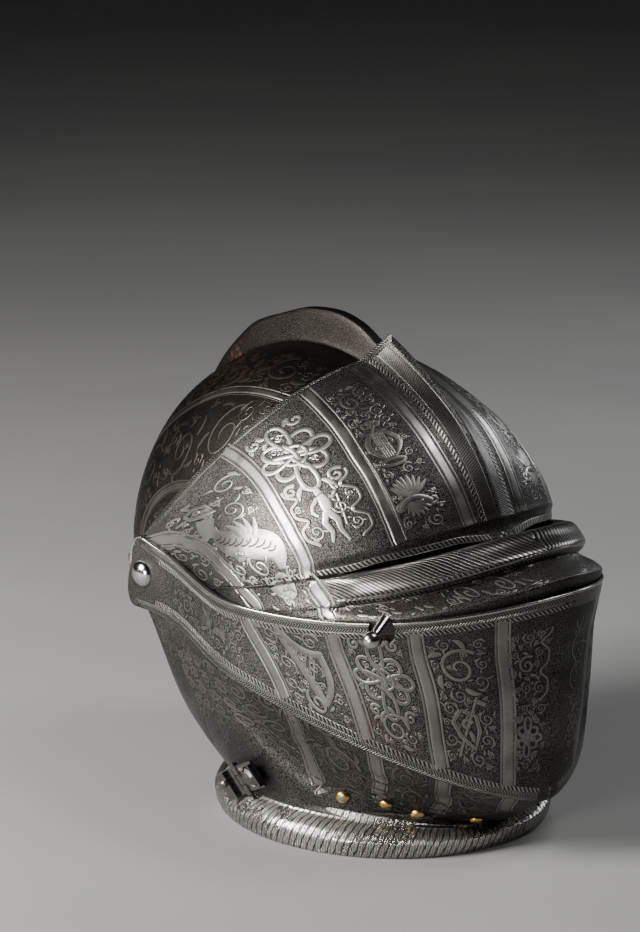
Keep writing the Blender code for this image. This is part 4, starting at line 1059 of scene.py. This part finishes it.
def taper(t, width, tip=0.2):
    """Thin at both ends: width times sin of the way, not below the tip's share."""
    return width * np.maximum(np.sin(math.pi * t) ** 0.7, tip)


def spiral(size, turns=1.5, width=0.05, start=0.0):
    """A tendril that winds in: radius falls from size to a seventh of it."""
    t = np.linspace(0, 1, 34)
    angle = start + 2 * math.pi * turns * t
    radius = size * (1 - 0.86 * t ** 0.8)
    return stroke(radius * np.cos(angle), radius * np.sin(angle), width * (1 - 0.55 * t))


def leaf(u, v, length, turn, bend=0.8, width=0.11):
    """A bent blade: an arc whose heading turns by bend along its length."""
    t = np.linspace(0, 1, 9)
    heading = turn + bend * t
    step = length / 8
    return stroke(u + np.cumsum(np.cos(heading)) * step, v + np.cumsum(np.sin(heading)) * step,
                  width * np.sin(math.pi * (0.12 + 0.86 * t)) ** 0.8)


def scroll(size=0.45):
    """A spiral with blades springing off its outside."""
    parts = [spiral(size)]
    for angle in (0.4, 1.5, 2.7, 4.0):
        parts.append(leaf(size * 0.9 * math.cos(angle), size * 0.9 * math.sin(angle),
                          0.7 * size, angle + 0.5, 1.1, 0.12 * size))
    return parts


def sprig(size=0.25):
    """A fine tendril that winds in, with a blade off its outside and one at its root."""
    thin = 0.014 + 0.03 * size
    return [spiral(size, 1.5, thin), leaf(0.95 * size, 0.0, 0.9 * size, 1.5, 0.9, 1.5 * thin),
            leaf(-0.7 * size, 0.2 * size, 0.8 * size, 2.0, 1.0, 1.4 * thin),
            leaf(0.2 * size, -0.8 * size, 0.6 * size, -1.2, 1.0, 1.4 * thin)]


def knot(tall=1.0):
    """Endless knot: (cos t + cos 3t, sin t - sin 3t) has four loops; pointed ovals pass
    through it along both diagonals, with curls and blades round it."""
    t = np.linspace(0, 2 * math.pi, 180)
    four = stroke(0.36 * np.cos(t) + 0.42 * np.cos(3 * t), 0.36 * np.sin(t) - 0.42 * np.sin(3 * t),
                  0.055, "strap")
    parts = moved([four], turn=0.25 * math.pi)
    s = np.linspace(0, 2 * math.pi, 110)
    for turn, reach in ((0.0, 1.16), (0.5 * math.pi, 0.84)):
        oval = stroke(0.2 * np.sin(2 * s), reach * np.cos(s), 0.05, "strap")
        parts += moved([oval], turn=turn)
    parts.append(stroke(0.3 * np.cos(t), 0.3 * np.sin(t), 0.04, "strap"))
    for way in (-1.0, 1.0):
        for side in (-1.0, 1.0):
            parts += moved([spiral(0.2, 1.3, 0.045, 1.2)], side * 0.55, way * 1.0, 1.0, 0.5 * way)
            parts += [leaf(side * 0.2, way * 0.95, 0.42, math.pi * (0.5 - 0.32 * side) * way,
                           0.9 * side * way, 0.06)]
    return [dict(one, v=one["v"] * tall) for one in parts]


def cusps(start, end, inset=0.9):
    """Frame line down both sides of a panel, bowing in to a soft point three times."""
    v = np.linspace(start, end, 90)
    wave = 0.5 + 0.5 * np.cos(2 * math.pi * 2.5 * (v - start) / (end - start))
    return [stroke(side * (inset - 0.3 * wave ** 2.5), v, 0.035, "strap") for side in (-1.0, 1.0)]


def beast():
    """Ribbed serpent with a beaked head, a wing and a curled tail."""
    t = np.linspace(0, 1, 46)
    u = 0.32 * np.sin(2 * math.pi * t * 0.9 + 0.4)
    v = 1.5 * (t - 0.5)
    body = stroke(u, v, 0.05 + 0.2 * np.sin(math.pi * t ** 0.8) ** 1.2, "solid")
    parts = [body]
    for place in np.linspace(0.22, 0.8, 10):
        s = np.linspace(-1, 1, 8)
        half = 0.17 * np.sin(math.pi * place)
        parts.append(stroke(np.interp(place, t, u) + half * s,
                            np.interp(place, t, v) + 0.05 * s ** 2, 0.016, "cut"))
    head = moved([stroke([0, .1, .22, .34], [0, .06, .05, -.04], [.12, .13, .09, .02], "solid"),
                  leaf(0.05, 0.1, 0.3, 1.9, -1.0, 0.06), leaf(0.0, 0.1, 0.22, 2.6, -1.0, 0.05)],
                 float(u[-1]), float(v[-1]), 1.3, 1.7)
    wing = [leaf(0.06, -0.1, 0.62, 0.4 + 0.28 * k, 0.5, 0.06) for k in range(4)]
    legs = [stroke([-.15, -.45, -.35, -.6], [.1, .2, .4, .5], [.06, .05, .04, .02]),
            stroke([-.15, -.5, -.45, -.7], [-.2, -.15, .05, .1], [.06, .05, .04, .02])]
    tail = moved([spiral(0.3, 1.5, 0.08, 2.6)], -0.12, -0.95)
    return parts + head + wing + legs + tail


def figure():
    """A small dancing figure with a staff, drawn plain."""
    lean = np.linspace(0, 1, 10)
    return [stroke([0.02, 0.0], [0.62, 0.82], [0.1, 0.09], "solid"),
            stroke(0.02 + 0.05 * np.sin(3 * lean), 0.58 - 0.62 * lean,
                   0.1 + 0.07 * np.sin(math.pi * lean), "solid"),
            stroke([.03, .2, .16, .28], [.0, -.3, -.6, -.95], [.1, .09, .06, .03], "solid"),
            stroke([-.03, -.2, -.1, -.24], [.0, -.3, -.62, -.92], [.1, .09, .06, .03], "solid"),
            stroke([.1, .34, .5, .44], [.5, .42, .6, .8], [.07, .055, .045, .03]),
            stroke([-.1, -.34, -.42, -.3], [.5, .3, .1, -.05], [.07, .055, .045, .03]),
            stroke([.52, .38], [1.0, -.5], 0.022), leaf(-0.1, 0.86, 0.3, 2.8, -0.8, 0.05)]


def shell():
    """A scallop on scrolls: ribs fan out under a banded arch."""
    ribs = [leaf(0, -0.1, 0.75, math.radians(angle), 0.25 * (1 if angle < 90 else -1), 0.085)
            for angle in range(30, 151, 15)]
    ribs += [leaf(0, -0.2, 0.55, math.radians(angle), 0.3, 0.07) for angle in range(205, 336, 18)]
    t = np.linspace(-1.15, 1.15, 30)
    arch = [stroke(0.62 * np.sin(t), -0.62 + 0.5 * np.cos(t), 0.09, "strap"),
            stroke(0.44 * np.sin(t), -0.5 + 0.4 * np.cos(t), 0.03)]
    curls = moved([spiral(0.22, 1.3, 0.07, 2.0)], 0.62, -0.36) \
        + moved(flipped([spiral(0.22, 1.3, 0.07, 2.0)]), -0.62, -0.36)
    return ribs + arch + curls


def lyre():
    """Two horns that curl out, a bar, and strings."""
    t = np.linspace(0, 1, 26)
    horn = stroke(0.12 + 0.42 * np.sin(math.pi * t * 1.15), -0.7 + 1.4 * t, taper(t, 0.085))
    parts = [horn] + flipped([horn])
    parts += [stroke([-.4, .4], [.45, .45], 0.045)]
    parts += [stroke([u, u], [-0.62, 0.44], 0.016) for u in (-.18, -.09, 0, .09, .18)]
    parts += moved([spiral(0.2, 1.2, 0.06, 2.4)], 0.2, 0.85) \
        + moved(flipped([spiral(0.2, 1.2, 0.06, 2.4)]), -0.2, 0.85)
    foot = stroke(0.4 * np.sin(2 * math.pi * t), -0.82 + 0.12 * np.cos(2 * math.pi * t), 0.05)
    return [*parts, foot]


def harp():
    """Three-sided frame with slanting strings and a curled shoulder."""
    t = np.linspace(0, 1, 24)
    back = stroke(-0.5 + 0.95 * t, 0.75 - 1.55 * t, 0.085)
    front = stroke(0.45 + 0.18 * np.sin(math.pi * t), -0.8 + 1.35 * t, 0.075)
    neck = stroke(0.5 - 1.0 * t, 0.55 + 0.2 * t - 0.2 * np.sin(math.pi * t), 0.075)
    strings = [stroke([-0.4 + 0.85 * s, -0.28 + 0.8 * s], [0.6 - 1.2 * s, 0.6 - 0.35 * s], 0.016)
               for s in np.linspace(0.05, 0.75, 8)]
    return [back, front, neck, *strings, *moved([spiral(0.2, 1.2, 0.06, 0.5)], -0.6, 0.86)]


def shield(turn=0.5):
    """A lozenge shield on crossed staves, with a curled device."""
    outline = stroke([0, .42, .34, 0, -.34, -.42, 0], [.62, .3, -.2, -.72, -.2, .3, .62], 0.06,
                     "strap")
    device = moved([spiral(0.2, 1.3, 0.05, 0.0)], 0.02, 0.1)
    device.append(leaf(0, -0.1, 0.35, -1.2, -0.6, 0.06))
    staves = [stroke([-.7, .7], [-.85, .85], 0.03), stroke([.62, .85], [.75, .55], 0.07),
              stroke([.7, -.7], [-.85, .85], 0.03)]
    return moved([*staves, outline, *device], turn=turn)


def quiver():
    """A cuirass over a quiver of arrows, hung on a strap with tassels."""
    t = np.linspace(0, 1, 16)
    c, s = np.cos(2 * math.pi * t), np.sin(2 * math.pi * t)
    plates = [stroke(0.0 * t, 0.15 + 0.6 * t, 0.34 - 0.12 * t + 0.08 * np.cos(9 * t), "solid"),
              stroke(0.18 * c, 0.45 + 0.22 * s, 0.018, "cut"),
              stroke(0.28 * c, 0.45 + 0.3 * s, 0.014, "cut")]
    case = [stroke(0.05 + 0.0 * t, -0.6 + 0.5 * t, 0.2 - 0.04 * t, "solid"),
            stroke([-.15, .25], [-.22, -.22], 0.018, "cut"),
            stroke([-.15, .25], [-.5, -.5], 0.018, "cut")]
    arrows = [stroke([0.05 + 0.3 * a, 0.05 + 0.05 * a], [-1.02, -0.6], 0.028)
              for a in (-1, -.5, 0, .5, 1)]
    horns = [leaf(0.2, 0.6, 0.6, 0.7, 0.8, 0.08), leaf(-0.2, 0.6, 0.6, 2.4, -0.8, 0.08)]
    return plates + case + arrows + horns


print("strokes in a knot:", len(knot()), "in a beast:", len(beast()))


# %% [markdown]
# A panel lies between two bands. Its drawing is mapped onto the plate, with v measured
# in real distance along the panel's middle so the figures keep their shape. Whatever is
# left empty is filled with fine tendrils, the large ones first, as an etcher would, from
# a seeded shuffle.

# %% Drawing in the panels
LINE_PROFILE = ((-1.0, -0.04), (-0.86, 0.06), (0.0, 0.08), (0.86, 0.06), (1.0, -0.04))
STRAP_PROFILE = ((-1.0, -0.04), (-0.88, 0.08), (0.0, 0.1), (0.88, 0.08), (1.0, -0.04))
SOLID_PROFILE = ((-1.0, -0.04), (-0.92, 0.09), (-0.45, 0.13), (0.45, 0.13), (0.92, 0.09),
                 (1.0, -0.04))
CUT_PROFILE = ((-1.0, 0.13), (0.0, 0.18), (1.0, 0.13))
OUTLINE = 0.58          # width of the dark line left down each side of a stroke
EDGE_REACH = 1.2        # the UV's share falls from 1 to 0 over this distance from the edge
PROFILES = {"line": LINE_PROFILE, "strap": STRAP_PROFILE, "solid": SOLID_PROFILE,
            "cut": CUT_PROFILE}
chance = np.random.default_rng(1560)


def filled(strokes, length, gap=0.06, tries=1100, sizes=(0.085, 0.3), edge=0.97):
    """Adds sprigs, the large ones first, wherever their disc is clear of every stroke."""
    marks = [np.stack([one["u"], one["v"]], axis=-1) for one in strokes]
    marks = np.concatenate(marks) if marks else np.full((1, 2), 99.0)
    more = []
    for size in np.linspace(sizes[1], sizes[0], tries):
        u = chance.uniform(-edge + size, edge - size)
        v = chance.uniform(size, max(length - size, size + 0.01))
        if np.hypot(marks[:, 0] - u, marks[:, 1] - v).min() < size + gap:
            continue
        new = moved(sprig(size), u, v, 1.0, chance.uniform(0, 6.28))
        more += [dict(one, fine=True) for one in new]
        marks = np.concatenate([marks] + [np.stack([one["u"], one["v"]], axis=-1) for one in new])
    return strokes + more


def panel(chart, low, high, start, end, clear=5.4, steps=80):
    """Rows, their distance in millimetres and the shares of both sides of a panel, kept
    clear of the bands beside it. Its unit is half its width in millimetres."""
    rows = np.linspace(start, end, steps)
    left, right = low(rows), high(rows)
    middle = chart(rows, 0.5 * (left + right))
    lengths = np.linalg.norm(np.diff(middle, axis=0), axis=-1)
    distance = np.concatenate([[0], np.cumsum(lengths)]) / MM
    width = np.linalg.norm(chart(rows, left) - chart(rows, right), axis=-1) / MM
    shrink = 0.5 * np.clip(1 - 2 * clear / np.maximum(width, 1.0), 0.15, 1.0) * (right - left)
    centre = 0.5 * (left + right)
    unit = max(1.0, 0.5 * float((width - 2 * clear).mean()))
    return {"chart": chart, "rows": rows, "low": centre - shrink, "high": centre + shrink,
            "distance": distance, "unit": unit, "length": float(distance[-1]) / unit,
            "last": max(1.0, float(right.max()))}


def lay_panel(piles, place, strokes, thin=1.0, row_step=0.01):
    """Maps strokes onto the panel and adds their strips to the piles by kind. A stroke
    that a crease of the plate would stretch is left out."""
    for number, one in enumerate(strokes):
        reach = one["v"] * place["unit"]
        inside = (reach > 0.0) & (reach < place["distance"][-1]) & (abs(one["u"]) < 1.02)
        if inside.sum() < 3 and len(reach) > 3 or not inside.any():
            continue
        u, v, w = (np.asarray(part, float) for part in (one["u"], reach, one["w"]))
        if len(u) > 6:
            u, v, w = u[inside], v[inside], w[inside]
        else:
            fine = np.linspace(0, len(u) - 1, 4 * len(u))
            u, v, w = (np.interp(fine, np.arange(len(u)), part) for part in (u, v, w))
            if not ((v > 0) & (v < place["distance"][-1])).all():
                continue
        row = np.interp(v, place["distance"], place["rows"])
        low = np.interp(v, place["distance"], place["low"])
        high = np.interp(v, place["distance"], place["high"])
        column = 0.5 * (low + high) + 0.5 * u * (high - low)
        fine = one.get("fine", False)
        outline = 0.0 if one["kind"] == "cut" else (0.6 if fine else 1.0) * OUTLINE
        half = np.maximum(w * place["unit"] * thin, 0.13 if fine else 0.16) + outline
        profile = PROFILES[one["kind"]]
        lift = 0.006 * (number % 9) + 0.02 * (1 + np.sin(np.linspace(0, 40, len(v))))
        points = strip(place["chart"], row, column, half, profile, row_step, lift, place["last"])
        wide = np.linalg.norm(points[:, -1] - points[:, 0], axis=-1) / MM
        long = np.linalg.norm(np.diff(points[:, 0], axis=0), axis=-1) / MM
        if (wide > 2.4 * half).any() or long.max() > 6 * np.median(long) + 1:
            continue
        across = np.array([p[0] for p in profile])
        share = 1 - (1 - abs(across)) * half[:, None] / EDGE_REACH
        across = np.sign(across) * np.maximum(share, 0.0)
        gather(piles[one["kind"]], points, across)


def band_share(bands, name):
    """A band's share as a function of the row."""
    table = np.array(bands[name], float)
    table = table[np.argsort(table[:, 0])]
    return lambda rows: along(table, rows)


def flat_share(value):
    return lambda rows: np.full(len(rows), value)


def new_piles():
    return {kind: new_pile() for kind in PROFILES}


def finish_drawing(body, piles, line_finish, strap_finish):
    """The strokes of a plate, one piece for each kind."""
    for kind, finish in (("line", line_finish), ("strap", strap_finish), ("solid", line_finish),
                         ("cut", incised)):
        if piles[kind]["count"]:
            strips_piece(f"{body}_{kind}_drawing", piles[kind], body, finish)


incised = polished_finish("incised", (0.05, 0.046, 0.042), 0.45)
print("fill test:", len(filled([], 3.0)), "strokes")


# %% [markdown]
# Near the keel a share of the way is too coarse a measure, because the plate turns over
# there. So a second way to name a place on the visor is used: its row and its distance
# from the middle plane, found by halving the interval until it fits.

# %% Places near the visor's keel
def share_beside(row, beside):
    """The share of the way at which the visor is this many millimetres beside the middle."""
    low = np.full(np.broadcast(row, beside).shape, 0.5)
    high = np.ones_like(low)
    for _ in range(26):
        middle = 0.5 * (low + high)
        beyond = -on_visor(row, middle)[..., 0] / MM > beside
        low, high = np.where(beyond, middle, low), np.where(beyond, high, middle)
    return 0.5 * (low + high)


def near_keel(row, near):
    """near is 1 on the middle plane and falls by 0.01 for each millimetre beside it."""
    return on_visor(row, share_beside(row, 100.0 * (1 - near)))


keel_rows = np.linspace(11.9, 19.7, 90)
keel_reach = along(((11.9, 20.5), (13.0, 21.0), (15.5, 23.0), (17.9, 20.5), (19.9, 17.5)),
                   keel_rows)
keel_band, keel_rope, keel_feather = new_pile(), new_pile(), new_pile()
for pile, beside, half, profile in ((keel_band, keel_reach, BAND_HALF, BAND_PROFILE),
                                    (keel_rope, 0.56 * keel_reach, 1.5, BORDER_PROFILE),
                                    (keel_feather, 0.28 * keel_reach, 4.6, BORDER_PROFILE)):
    points = strip(near_keel, keel_rows, 1 - 0.01 * beside, np.full(90, half), profile)
    gather(pile, points, [p[0] for p in profile])
strips_piece("keel_bands", keel_band, "visor", plain_band)
strips_piece("keel_ropes", keel_rope, "visor", rope_line)
# the keel's feathering in its darker border steel: painted shade
strips_piece("keel_feathering", keel_feather, "visor", feathering)


# %% [markdown]
# The visor's panels: a serpent beside the temple, a knot over a dancing figure in a
# cusped frame at the side, and a lyre over a shell at the brow.

# %% Drawing on the visor
def turned_chart(chart):
    """The same plate with its row and column exchanged, for drawings that lie along it."""
    return lambda column, row: chart(row, column)


visor_piles = new_piles()
cheek_share = {name: band_share(CHEEK_BANDS, name) for name in CHEEK_BANDS}
temple = panel(on_cheek, flat_share(0.05), cheek_share["temple"], 12.0, 38.0, 4.0)
lay_panel(visor_piles, temple, filled([], temple["length"]), 1.0, 0.05)
cheek = panel(on_cheek, cheek_share["temple"], cheek_share["side"], 5.5, 46.0)
art = moved(beast(), 0.1, 0.44 * cheek["length"], 1.2, 0.35) \
    + moved(shield(0.7), -0.15, 0.84 * cheek["length"], 0.55)
lay_panel(visor_piles, cheek, filled(art, cheek["length"]), 1.0, 0.05)
side = panel(on_visor, band_share(VISOR_BANDS, "side"), band_share(VISOR_BANDS, "brow"), 12.6, 19.0)
half_way = 0.46 * side["length"]
art = moved(knot(0.9), 0.0, 0.7 * side["length"], 1.18) \
    + moved(figure(), 0.0, 0.22 * side["length"], 0.9) + cusps(0.05, half_way)
lay_panel(visor_piles, side, filled(art, side["length"]))


def keel_share(rows):
    """Share of the way where the keel's plain band runs."""
    return share_beside(rows, np.interp(rows, keel_rows, keel_reach))


brow = panel(on_visor, band_share(VISOR_BANDS, "brow"), keel_share, 12.3, 19.0)
art = moved(shell(), 0.0, 0.2 * brow["length"], 1.1) \
    + moved(lyre(), 0.0, 0.54 * brow["length"], 1.2) \
    + moved(scroll(0.6), 0.0, 0.87 * brow["length"], 0.9, 1.0)
lay_panel(visor_piles, brow, filled(art, brow["length"]))
valley = panel(turned_chart(on_visor), flat_share(2.6), flat_share(4.3), 0.70, 0.998, 0.3)
art = [part for n in range(int(valley["length"] / 2.2))
       for part in moved(scroll(0.7), 0.0, 1.2 + 2.2 * n, 1.0, 1.3 * n)]
lay_panel(visor_piles, valley, filled(art, valley["length"], sizes=(0.25, 0.45)))
finish_drawing("visor", visor_piles, drawing, knot_line)

# %% [markdown]
# The upper bevor: a cuirass and quiver near the pivot, then a harp, a knot, and a lozenge
# shield under a scroll, and a cusped frame beside the prow.

# %% Drawing on the upper bevor
upper_piles = new_piles()
BORDER_ROWS = (0.13, 0.87)
near = panel(turned_chart(on_upper_bevor), flat_share(0.2), flat_share(0.8), 0.12, 0.44, 0.5)
art = moved(quiver(), 0.0, 0.64 * near["length"], 1.1, math.pi) \
    + moved(scroll(0.6), -0.1, 0.2 * near["length"], 0.9)
lay_panel(upper_piles, near, filled(art, near["length"]))
for low, high, pictures in (
        ("cheek", "jaw", ((harp(), 0.58, 1.2, -0.3), (scroll(0.4), 0.14, 0.9, 2.0))),
        ("jaw", "chin", ((knot(1.1), 0.62, 1.1, 0.0), (scroll(0.6), 0.16, 0.9, 1.0))),
        ("chin", "prow", ((scroll(0.65), 0.76, 1.15, 0.8), (shield(0.35), 0.3, 1.1, 0.0)))):
    place = panel(on_upper_bevor, band_share(UPPER_BANDS, low), band_share(UPPER_BANDS, high),
                  *BORDER_ROWS)
    art = [part for picture, height, size, turn in pictures
           for part in moved(picture, 0.0, height * place["length"], size, turn)]
    lay_panel(upper_piles, place, filled(art, place["length"]))
prow = panel(on_upper_bevor, band_share(UPPER_BANDS, "prow"), flat_share(0.9995), 0.14, 0.86, 3.0)
art = cusps(0.5 * prow["length"], prow["length"]) \
    + moved(knot(0.9), 0.0, 0.25 * prow["length"], 0.9) \
    + moved(scroll(0.5), 0.0, 0.75 * prow["length"], 0.9, 1.0)
lay_panel(upper_piles, prow, filled(art, prow["length"]))
# the upper bevor's strokes are in the darker copies of the visor's finishes: painted shade
finish_drawing("upper_bevor", upper_piles, shaded_bevor_drawing, shaded_bevor_knot)

# %% [markdown]
# The lower bevor shows below the upper one as a fan of leaf scrolls in darker steel, painted shade
# under the upper bevor. The skull carries the same scrolls, larger and almost lost in the
# blackening.

# %% Drawing on the lower bevor and the skull
lower_piles = new_piles()
inner = panel(turned_chart(on_lower_bevor), flat_share(-58.0), flat_share(-19.0), 0.34, 0.64, 1.5)
art = [part for n in range(6) for k in range(6)
       for part in moved(scroll(0.14), -0.85 + 0.33 * k, 0.15 + 0.3 * n, 1.0, 1.7 * n + k)]
lay_panel(lower_piles, inner, filled(art, inner["length"], sizes=(0.05, 0.1)), 0.45)
for low, high in (("cheek", "jaw"), ("jaw", "chin"), ("chin", "prow")):
    place = panel(on_lower_bevor, band_share(LOWER_BANDS, low), band_share(LOWER_BANDS, high),
                  -31.5, -20.0)
    art = [part for n in range(int(place["length"] / 1.3) + 1)
           for part in moved(scroll(0.62), 0.1 * (-1) ** n, 0.7 + 1.3 * n, 1.0, 2.0 * n)]
    lay_panel(lower_piles, place, filled(art, place["length"], sizes=(0.12, 0.4)))
# the lower bevor's strokes in the darkest copy of the drawing: painted shade
finish_drawing("lower_bevor", lower_piles, painted_shade_drawing, painted_shade_drawing)

skull_piles = new_piles()
for low, high, start, end in ((flat_share(0.12), band_share(SKULL_BANDS, "low"), 62.0, 205.0),
                              (band_share(SKULL_BANDS, "low"), band_share(SKULL_BANDS, "side"),
                               56.0, 200.0),
                              (band_share(SKULL_BANDS, "side"), flat_share(0.985), 56.0, 200.0)):
    place = panel(on_skull, low, high, start, end, 3.6)
    count = int(place["length"] / 1.9)
    art = [part for n in range(count)
           for part in moved(scroll(0.7), 0.15 * (-1) ** n, 1.0 + 1.9 * n, 1.0, 2.4 * n)]
    lay_panel(skull_piles, place, filled(art, place["length"], tries=500), 0.8, 0.2)
finish_drawing("skull", skull_piles, skull_drawing, skull_drawing)


# %% [markdown]
# Rivets and the lifting peg are turned pieces: a profile of radius and height spun about
# its own axis, which is then laid along the piece's direction on the helmet.

# %% Turned pieces
def spun(name, profile, place, direction, body, finish, replaced, steps=56):
    """Spins (radius, height) points, top to bottom, about a direction at a place."""
    profile = np.array(profile, float) * MM
    axis = np.array(direction, float) / np.linalg.norm(direction)
    aside = np.cross(axis, (0.0, 0.0, 1.0) if abs(axis[2]) < 0.9 else (0.0, 1.0, 0.0))
    aside = aside / np.linalg.norm(aside)
    third = np.cross(axis, aside)
    turn = np.linspace(0, 2 * math.pi, steps + 1)[:, None, None]
    spoke = np.cos(turn) * aside + np.sin(turn) * third
    points = np.array(place) + profile[None, :, :1] * spoke + profile[None, :, 1:] * axis
    mesh = bpy.data.meshes.new(name)
    faces = grid_faces(steps + 1, len(profile))
    fill_mesh(mesh, points, faces)
    share = np.linspace(0, 1, len(profile))[None, :]
    add_uv(mesh, np.stack(np.broadcast_arrays(turn[..., 0], share), axis=-1))
    mend(mesh, 0.000002, 0.000001)
    mesh.shade_smooth()
    mesh.set_sharp_from_angle(angle=math.radians(40))
    mesh.materials.append(finish)
    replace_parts(placed(name, mesh, body), replaced)


def dome(radius, height, steps=12):
    turn = np.linspace(0, 0.5 * math.pi, steps)
    return list(zip(radius * np.sin(turn), height * np.cos(turn)))


def cap_finish():
    """Brass foil over a steel head, worn through on top."""
    finish, tree, shader = new_finish("worn_brass")
    uv = put(tree, "ShaderNodeUVMap", uv_map="along").outputs["UV"]
    share = put(tree, "ShaderNodeSeparateXYZ", {"Vector": uv}).outputs["Y"]
    patchy = maths(tree, "ADD", share, maths(tree, "MULTIPLY", noise(tree, 420.0, 2.0), 0.5))
    brass = mixed(tree, spread(tree, noise(tree, 700.0), 0.4, 0.7), (0.62, 0.40, 0.10),
                  (0.25, 0.14, 0.04))
    tree.links.new(mixed(tree, spread(tree, patchy, 0.52, 0.66), (0.33, 0.31, 0.27), brass),
                   shader.inputs["Base Color"])
    shader.inputs["Roughness"].default_value = 0.3
    return finish


worn_brass = cap_finish()
pivot = np.array([0.0, PIVOT_BACK, PIVOT_HEIGHT]) * MM
head, washer = TEMPLE - 0.7, TEMPLE - 3 * LAYER - PLATE - 2.1
profile = [(r, h + head) for r, h in dome(8.0, 5.0, 18)] + [(3.0, head), (3.0, washer),
           (6.0, washer), (6.0, washer - 1.5), (0.0, washer - 1.5)]
for side_word, sign in (("right", -1.0), ("left", 1.0)):
    spun(f"pivot_dome_{side_word}", profile, pivot, (sign, 0, 0), "skull",
         bright_steel, f"pivot_rivet_{side_word}")
turn = np.radians(np.linspace(0, 150, 22))
peg_profile = list(zip(4.9 * np.sin(turn), 17.0 + 4.9 * np.cos(turn)))
peg_profile += [(2.7, 12.6), (2.9, 9.5), (3.1, 6.0), (3.4, 2.6), (3.6, 1.2), (3.6, 0.0), (0.0, 0.0)]
peg_place = (np.array([-82.6, PIVOT_BACK - 189.8, PIVOT_HEIGHT + 12.5])) * MM
spun("peg_ball", peg_profile, peg_place, (-0.87, -0.26, -0.41), "visor",
     lip_steel, "lifting_peg")
CAPS = ((-35.6, 0.885), (-32.9, 0.905), (-32.4, 0.955), (-30.8, 0.982))
for number, (angle, share) in enumerate(CAPS, 1):
    here, down, out = tangents(on_lower_bevor, np.array([angle]), np.array([share]), 0.01)
    normal = face_out(here, down, out)[0]
    place = here[0] + normal * 0.6 * MM
    for side_word, sign in (("right", 1.0), ("left", -1.0)):
        flip = np.array([sign, 1.0, 1.0])
        spun(f"brass_cap_{side_word}_{number}", dome(4.0, 2.2, 10) + [(0.0, 0.0)], place * flip,
             normal * flip, "lower_bevor", worn_brass,
             f"lining_rivet_{side_word}_{number}", 28)
for node in ("latch_plate", "latch_hasp", "latch_pin"):
    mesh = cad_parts[node].data
    mesh.materials.clear()
    mesh.materials.append(latch_steel)
print("turned pieces done")


# %% [markdown]
# A pale floor, a soft key light high behind the helmet's right, a low one at that side, a
# weak one on its left to draw the far side of the visor, and one overhead. Dark polished
# steel shows its lights more than its colour, so they are large and few.

# %% Floor, lights and camera
def studio_floor():
    mesh = bpy.data.meshes.new("studio_floor")
    far = 14.0
    mesh.from_pydata([(-far, -far, 0), (far, -far, 0), (far, far, 0), (-far, far, 0)], [],
                     [(0, 1, 2, 3)])
    floor = bpy.data.objects.new("studio_floor", mesh)
    bpy.context.scene.collection.objects.link(floor)
    finish, tree, shader = new_finish("pale_floor", 0.0)
    tone = mixed(tree, spread(tree, noise(tree, 3.0), 0.3, 0.7), (0.24, 0.24, 0.24),
                 (0.26, 0.26, 0.255))
    tree.links.new(tone, shader.inputs["Base Color"])
    shader.inputs["Roughness"].default_value = 0.75
    mesh.materials.append(finish)


def soft_light(name, direction, distance, size, power, color=(1.0, 1.0, 1.0)):
    light = bpy.data.lights.new(name, "AREA")
    light.size = size
    light.energy = power
    light.color = color
    lamp = bpy.data.objects.new(name, light)
    bpy.context.scene.collection.objects.link(lamp)
    way = np.array(direction, float) / np.linalg.norm(direction)
    lamp.location = HEART + way * distance
    lamp.rotation_euler = Vector(way.tolist()).to_track_quat("Z", "Y").to_euler()


studio_floor()
# direction from the helmet, distance and size in metres, watts, colour
soft_light("key", (-0.86, 0.36, 0.46), 1.5, 0.6, 66.0, (1.0, 0.975, 0.95))
soft_light("side", (-0.98, -0.22, 0.10), 1.7, 0.45, 18.0, (1.0, 0.985, 0.965))
soft_light("rim", (0.93, 0.05, 0.36), 1.7, 0.5, 5.0, (0.95, 0.97, 1.0))
soft_light("overhead", (0.30, -0.40, 0.95), 1.7, 0.55, 11.0)
world = bpy.data.worlds.new("studio_air")
bpy.context.scene.world = world
world.use_nodes = True
air = world.node_tree.nodes["Background"].inputs
air["Color"].default_value = (0.36, 0.37, 0.38, 1.0)
air["Strength"].default_value = 0.03

AZIMUTH, ELEVATION, DISTANCE = math.radians(-43.0), math.radians(14.5), 2.0
SHIFT_RIGHT, SHIFT_UP, FOCAL_LENGTH, FILM_HEIGHT = 0.0339, 0.0457, 130.6, 36.0
back = np.array([math.sin(AZIMUTH) * math.cos(ELEVATION),
                 -math.cos(AZIMUTH) * math.cos(ELEVATION), math.sin(ELEVATION)])
right = np.array([math.cos(AZIMUTH), math.sin(AZIMUTH), 0.0])
up = np.cross(back, right)
camera = bpy.data.objects.new("camera", bpy.data.cameras.new("camera"))
bpy.context.scene.collection.objects.link(camera)
camera.data.sensor_fit = "VERTICAL"
camera.data.sensor_height = FILM_HEIGHT
camera.data.lens = FOCAL_LENGTH
camera.location = pivot + back * DISTANCE + right * SHIFT_RIGHT + up * SHIFT_UP
camera.rotation_euler = Matrix(np.stack([right, up, back], axis=1).tolist()).to_euler()
bpy.context.scene.camera = camera
print("camera at", [round(v, 3) for v in camera.location])
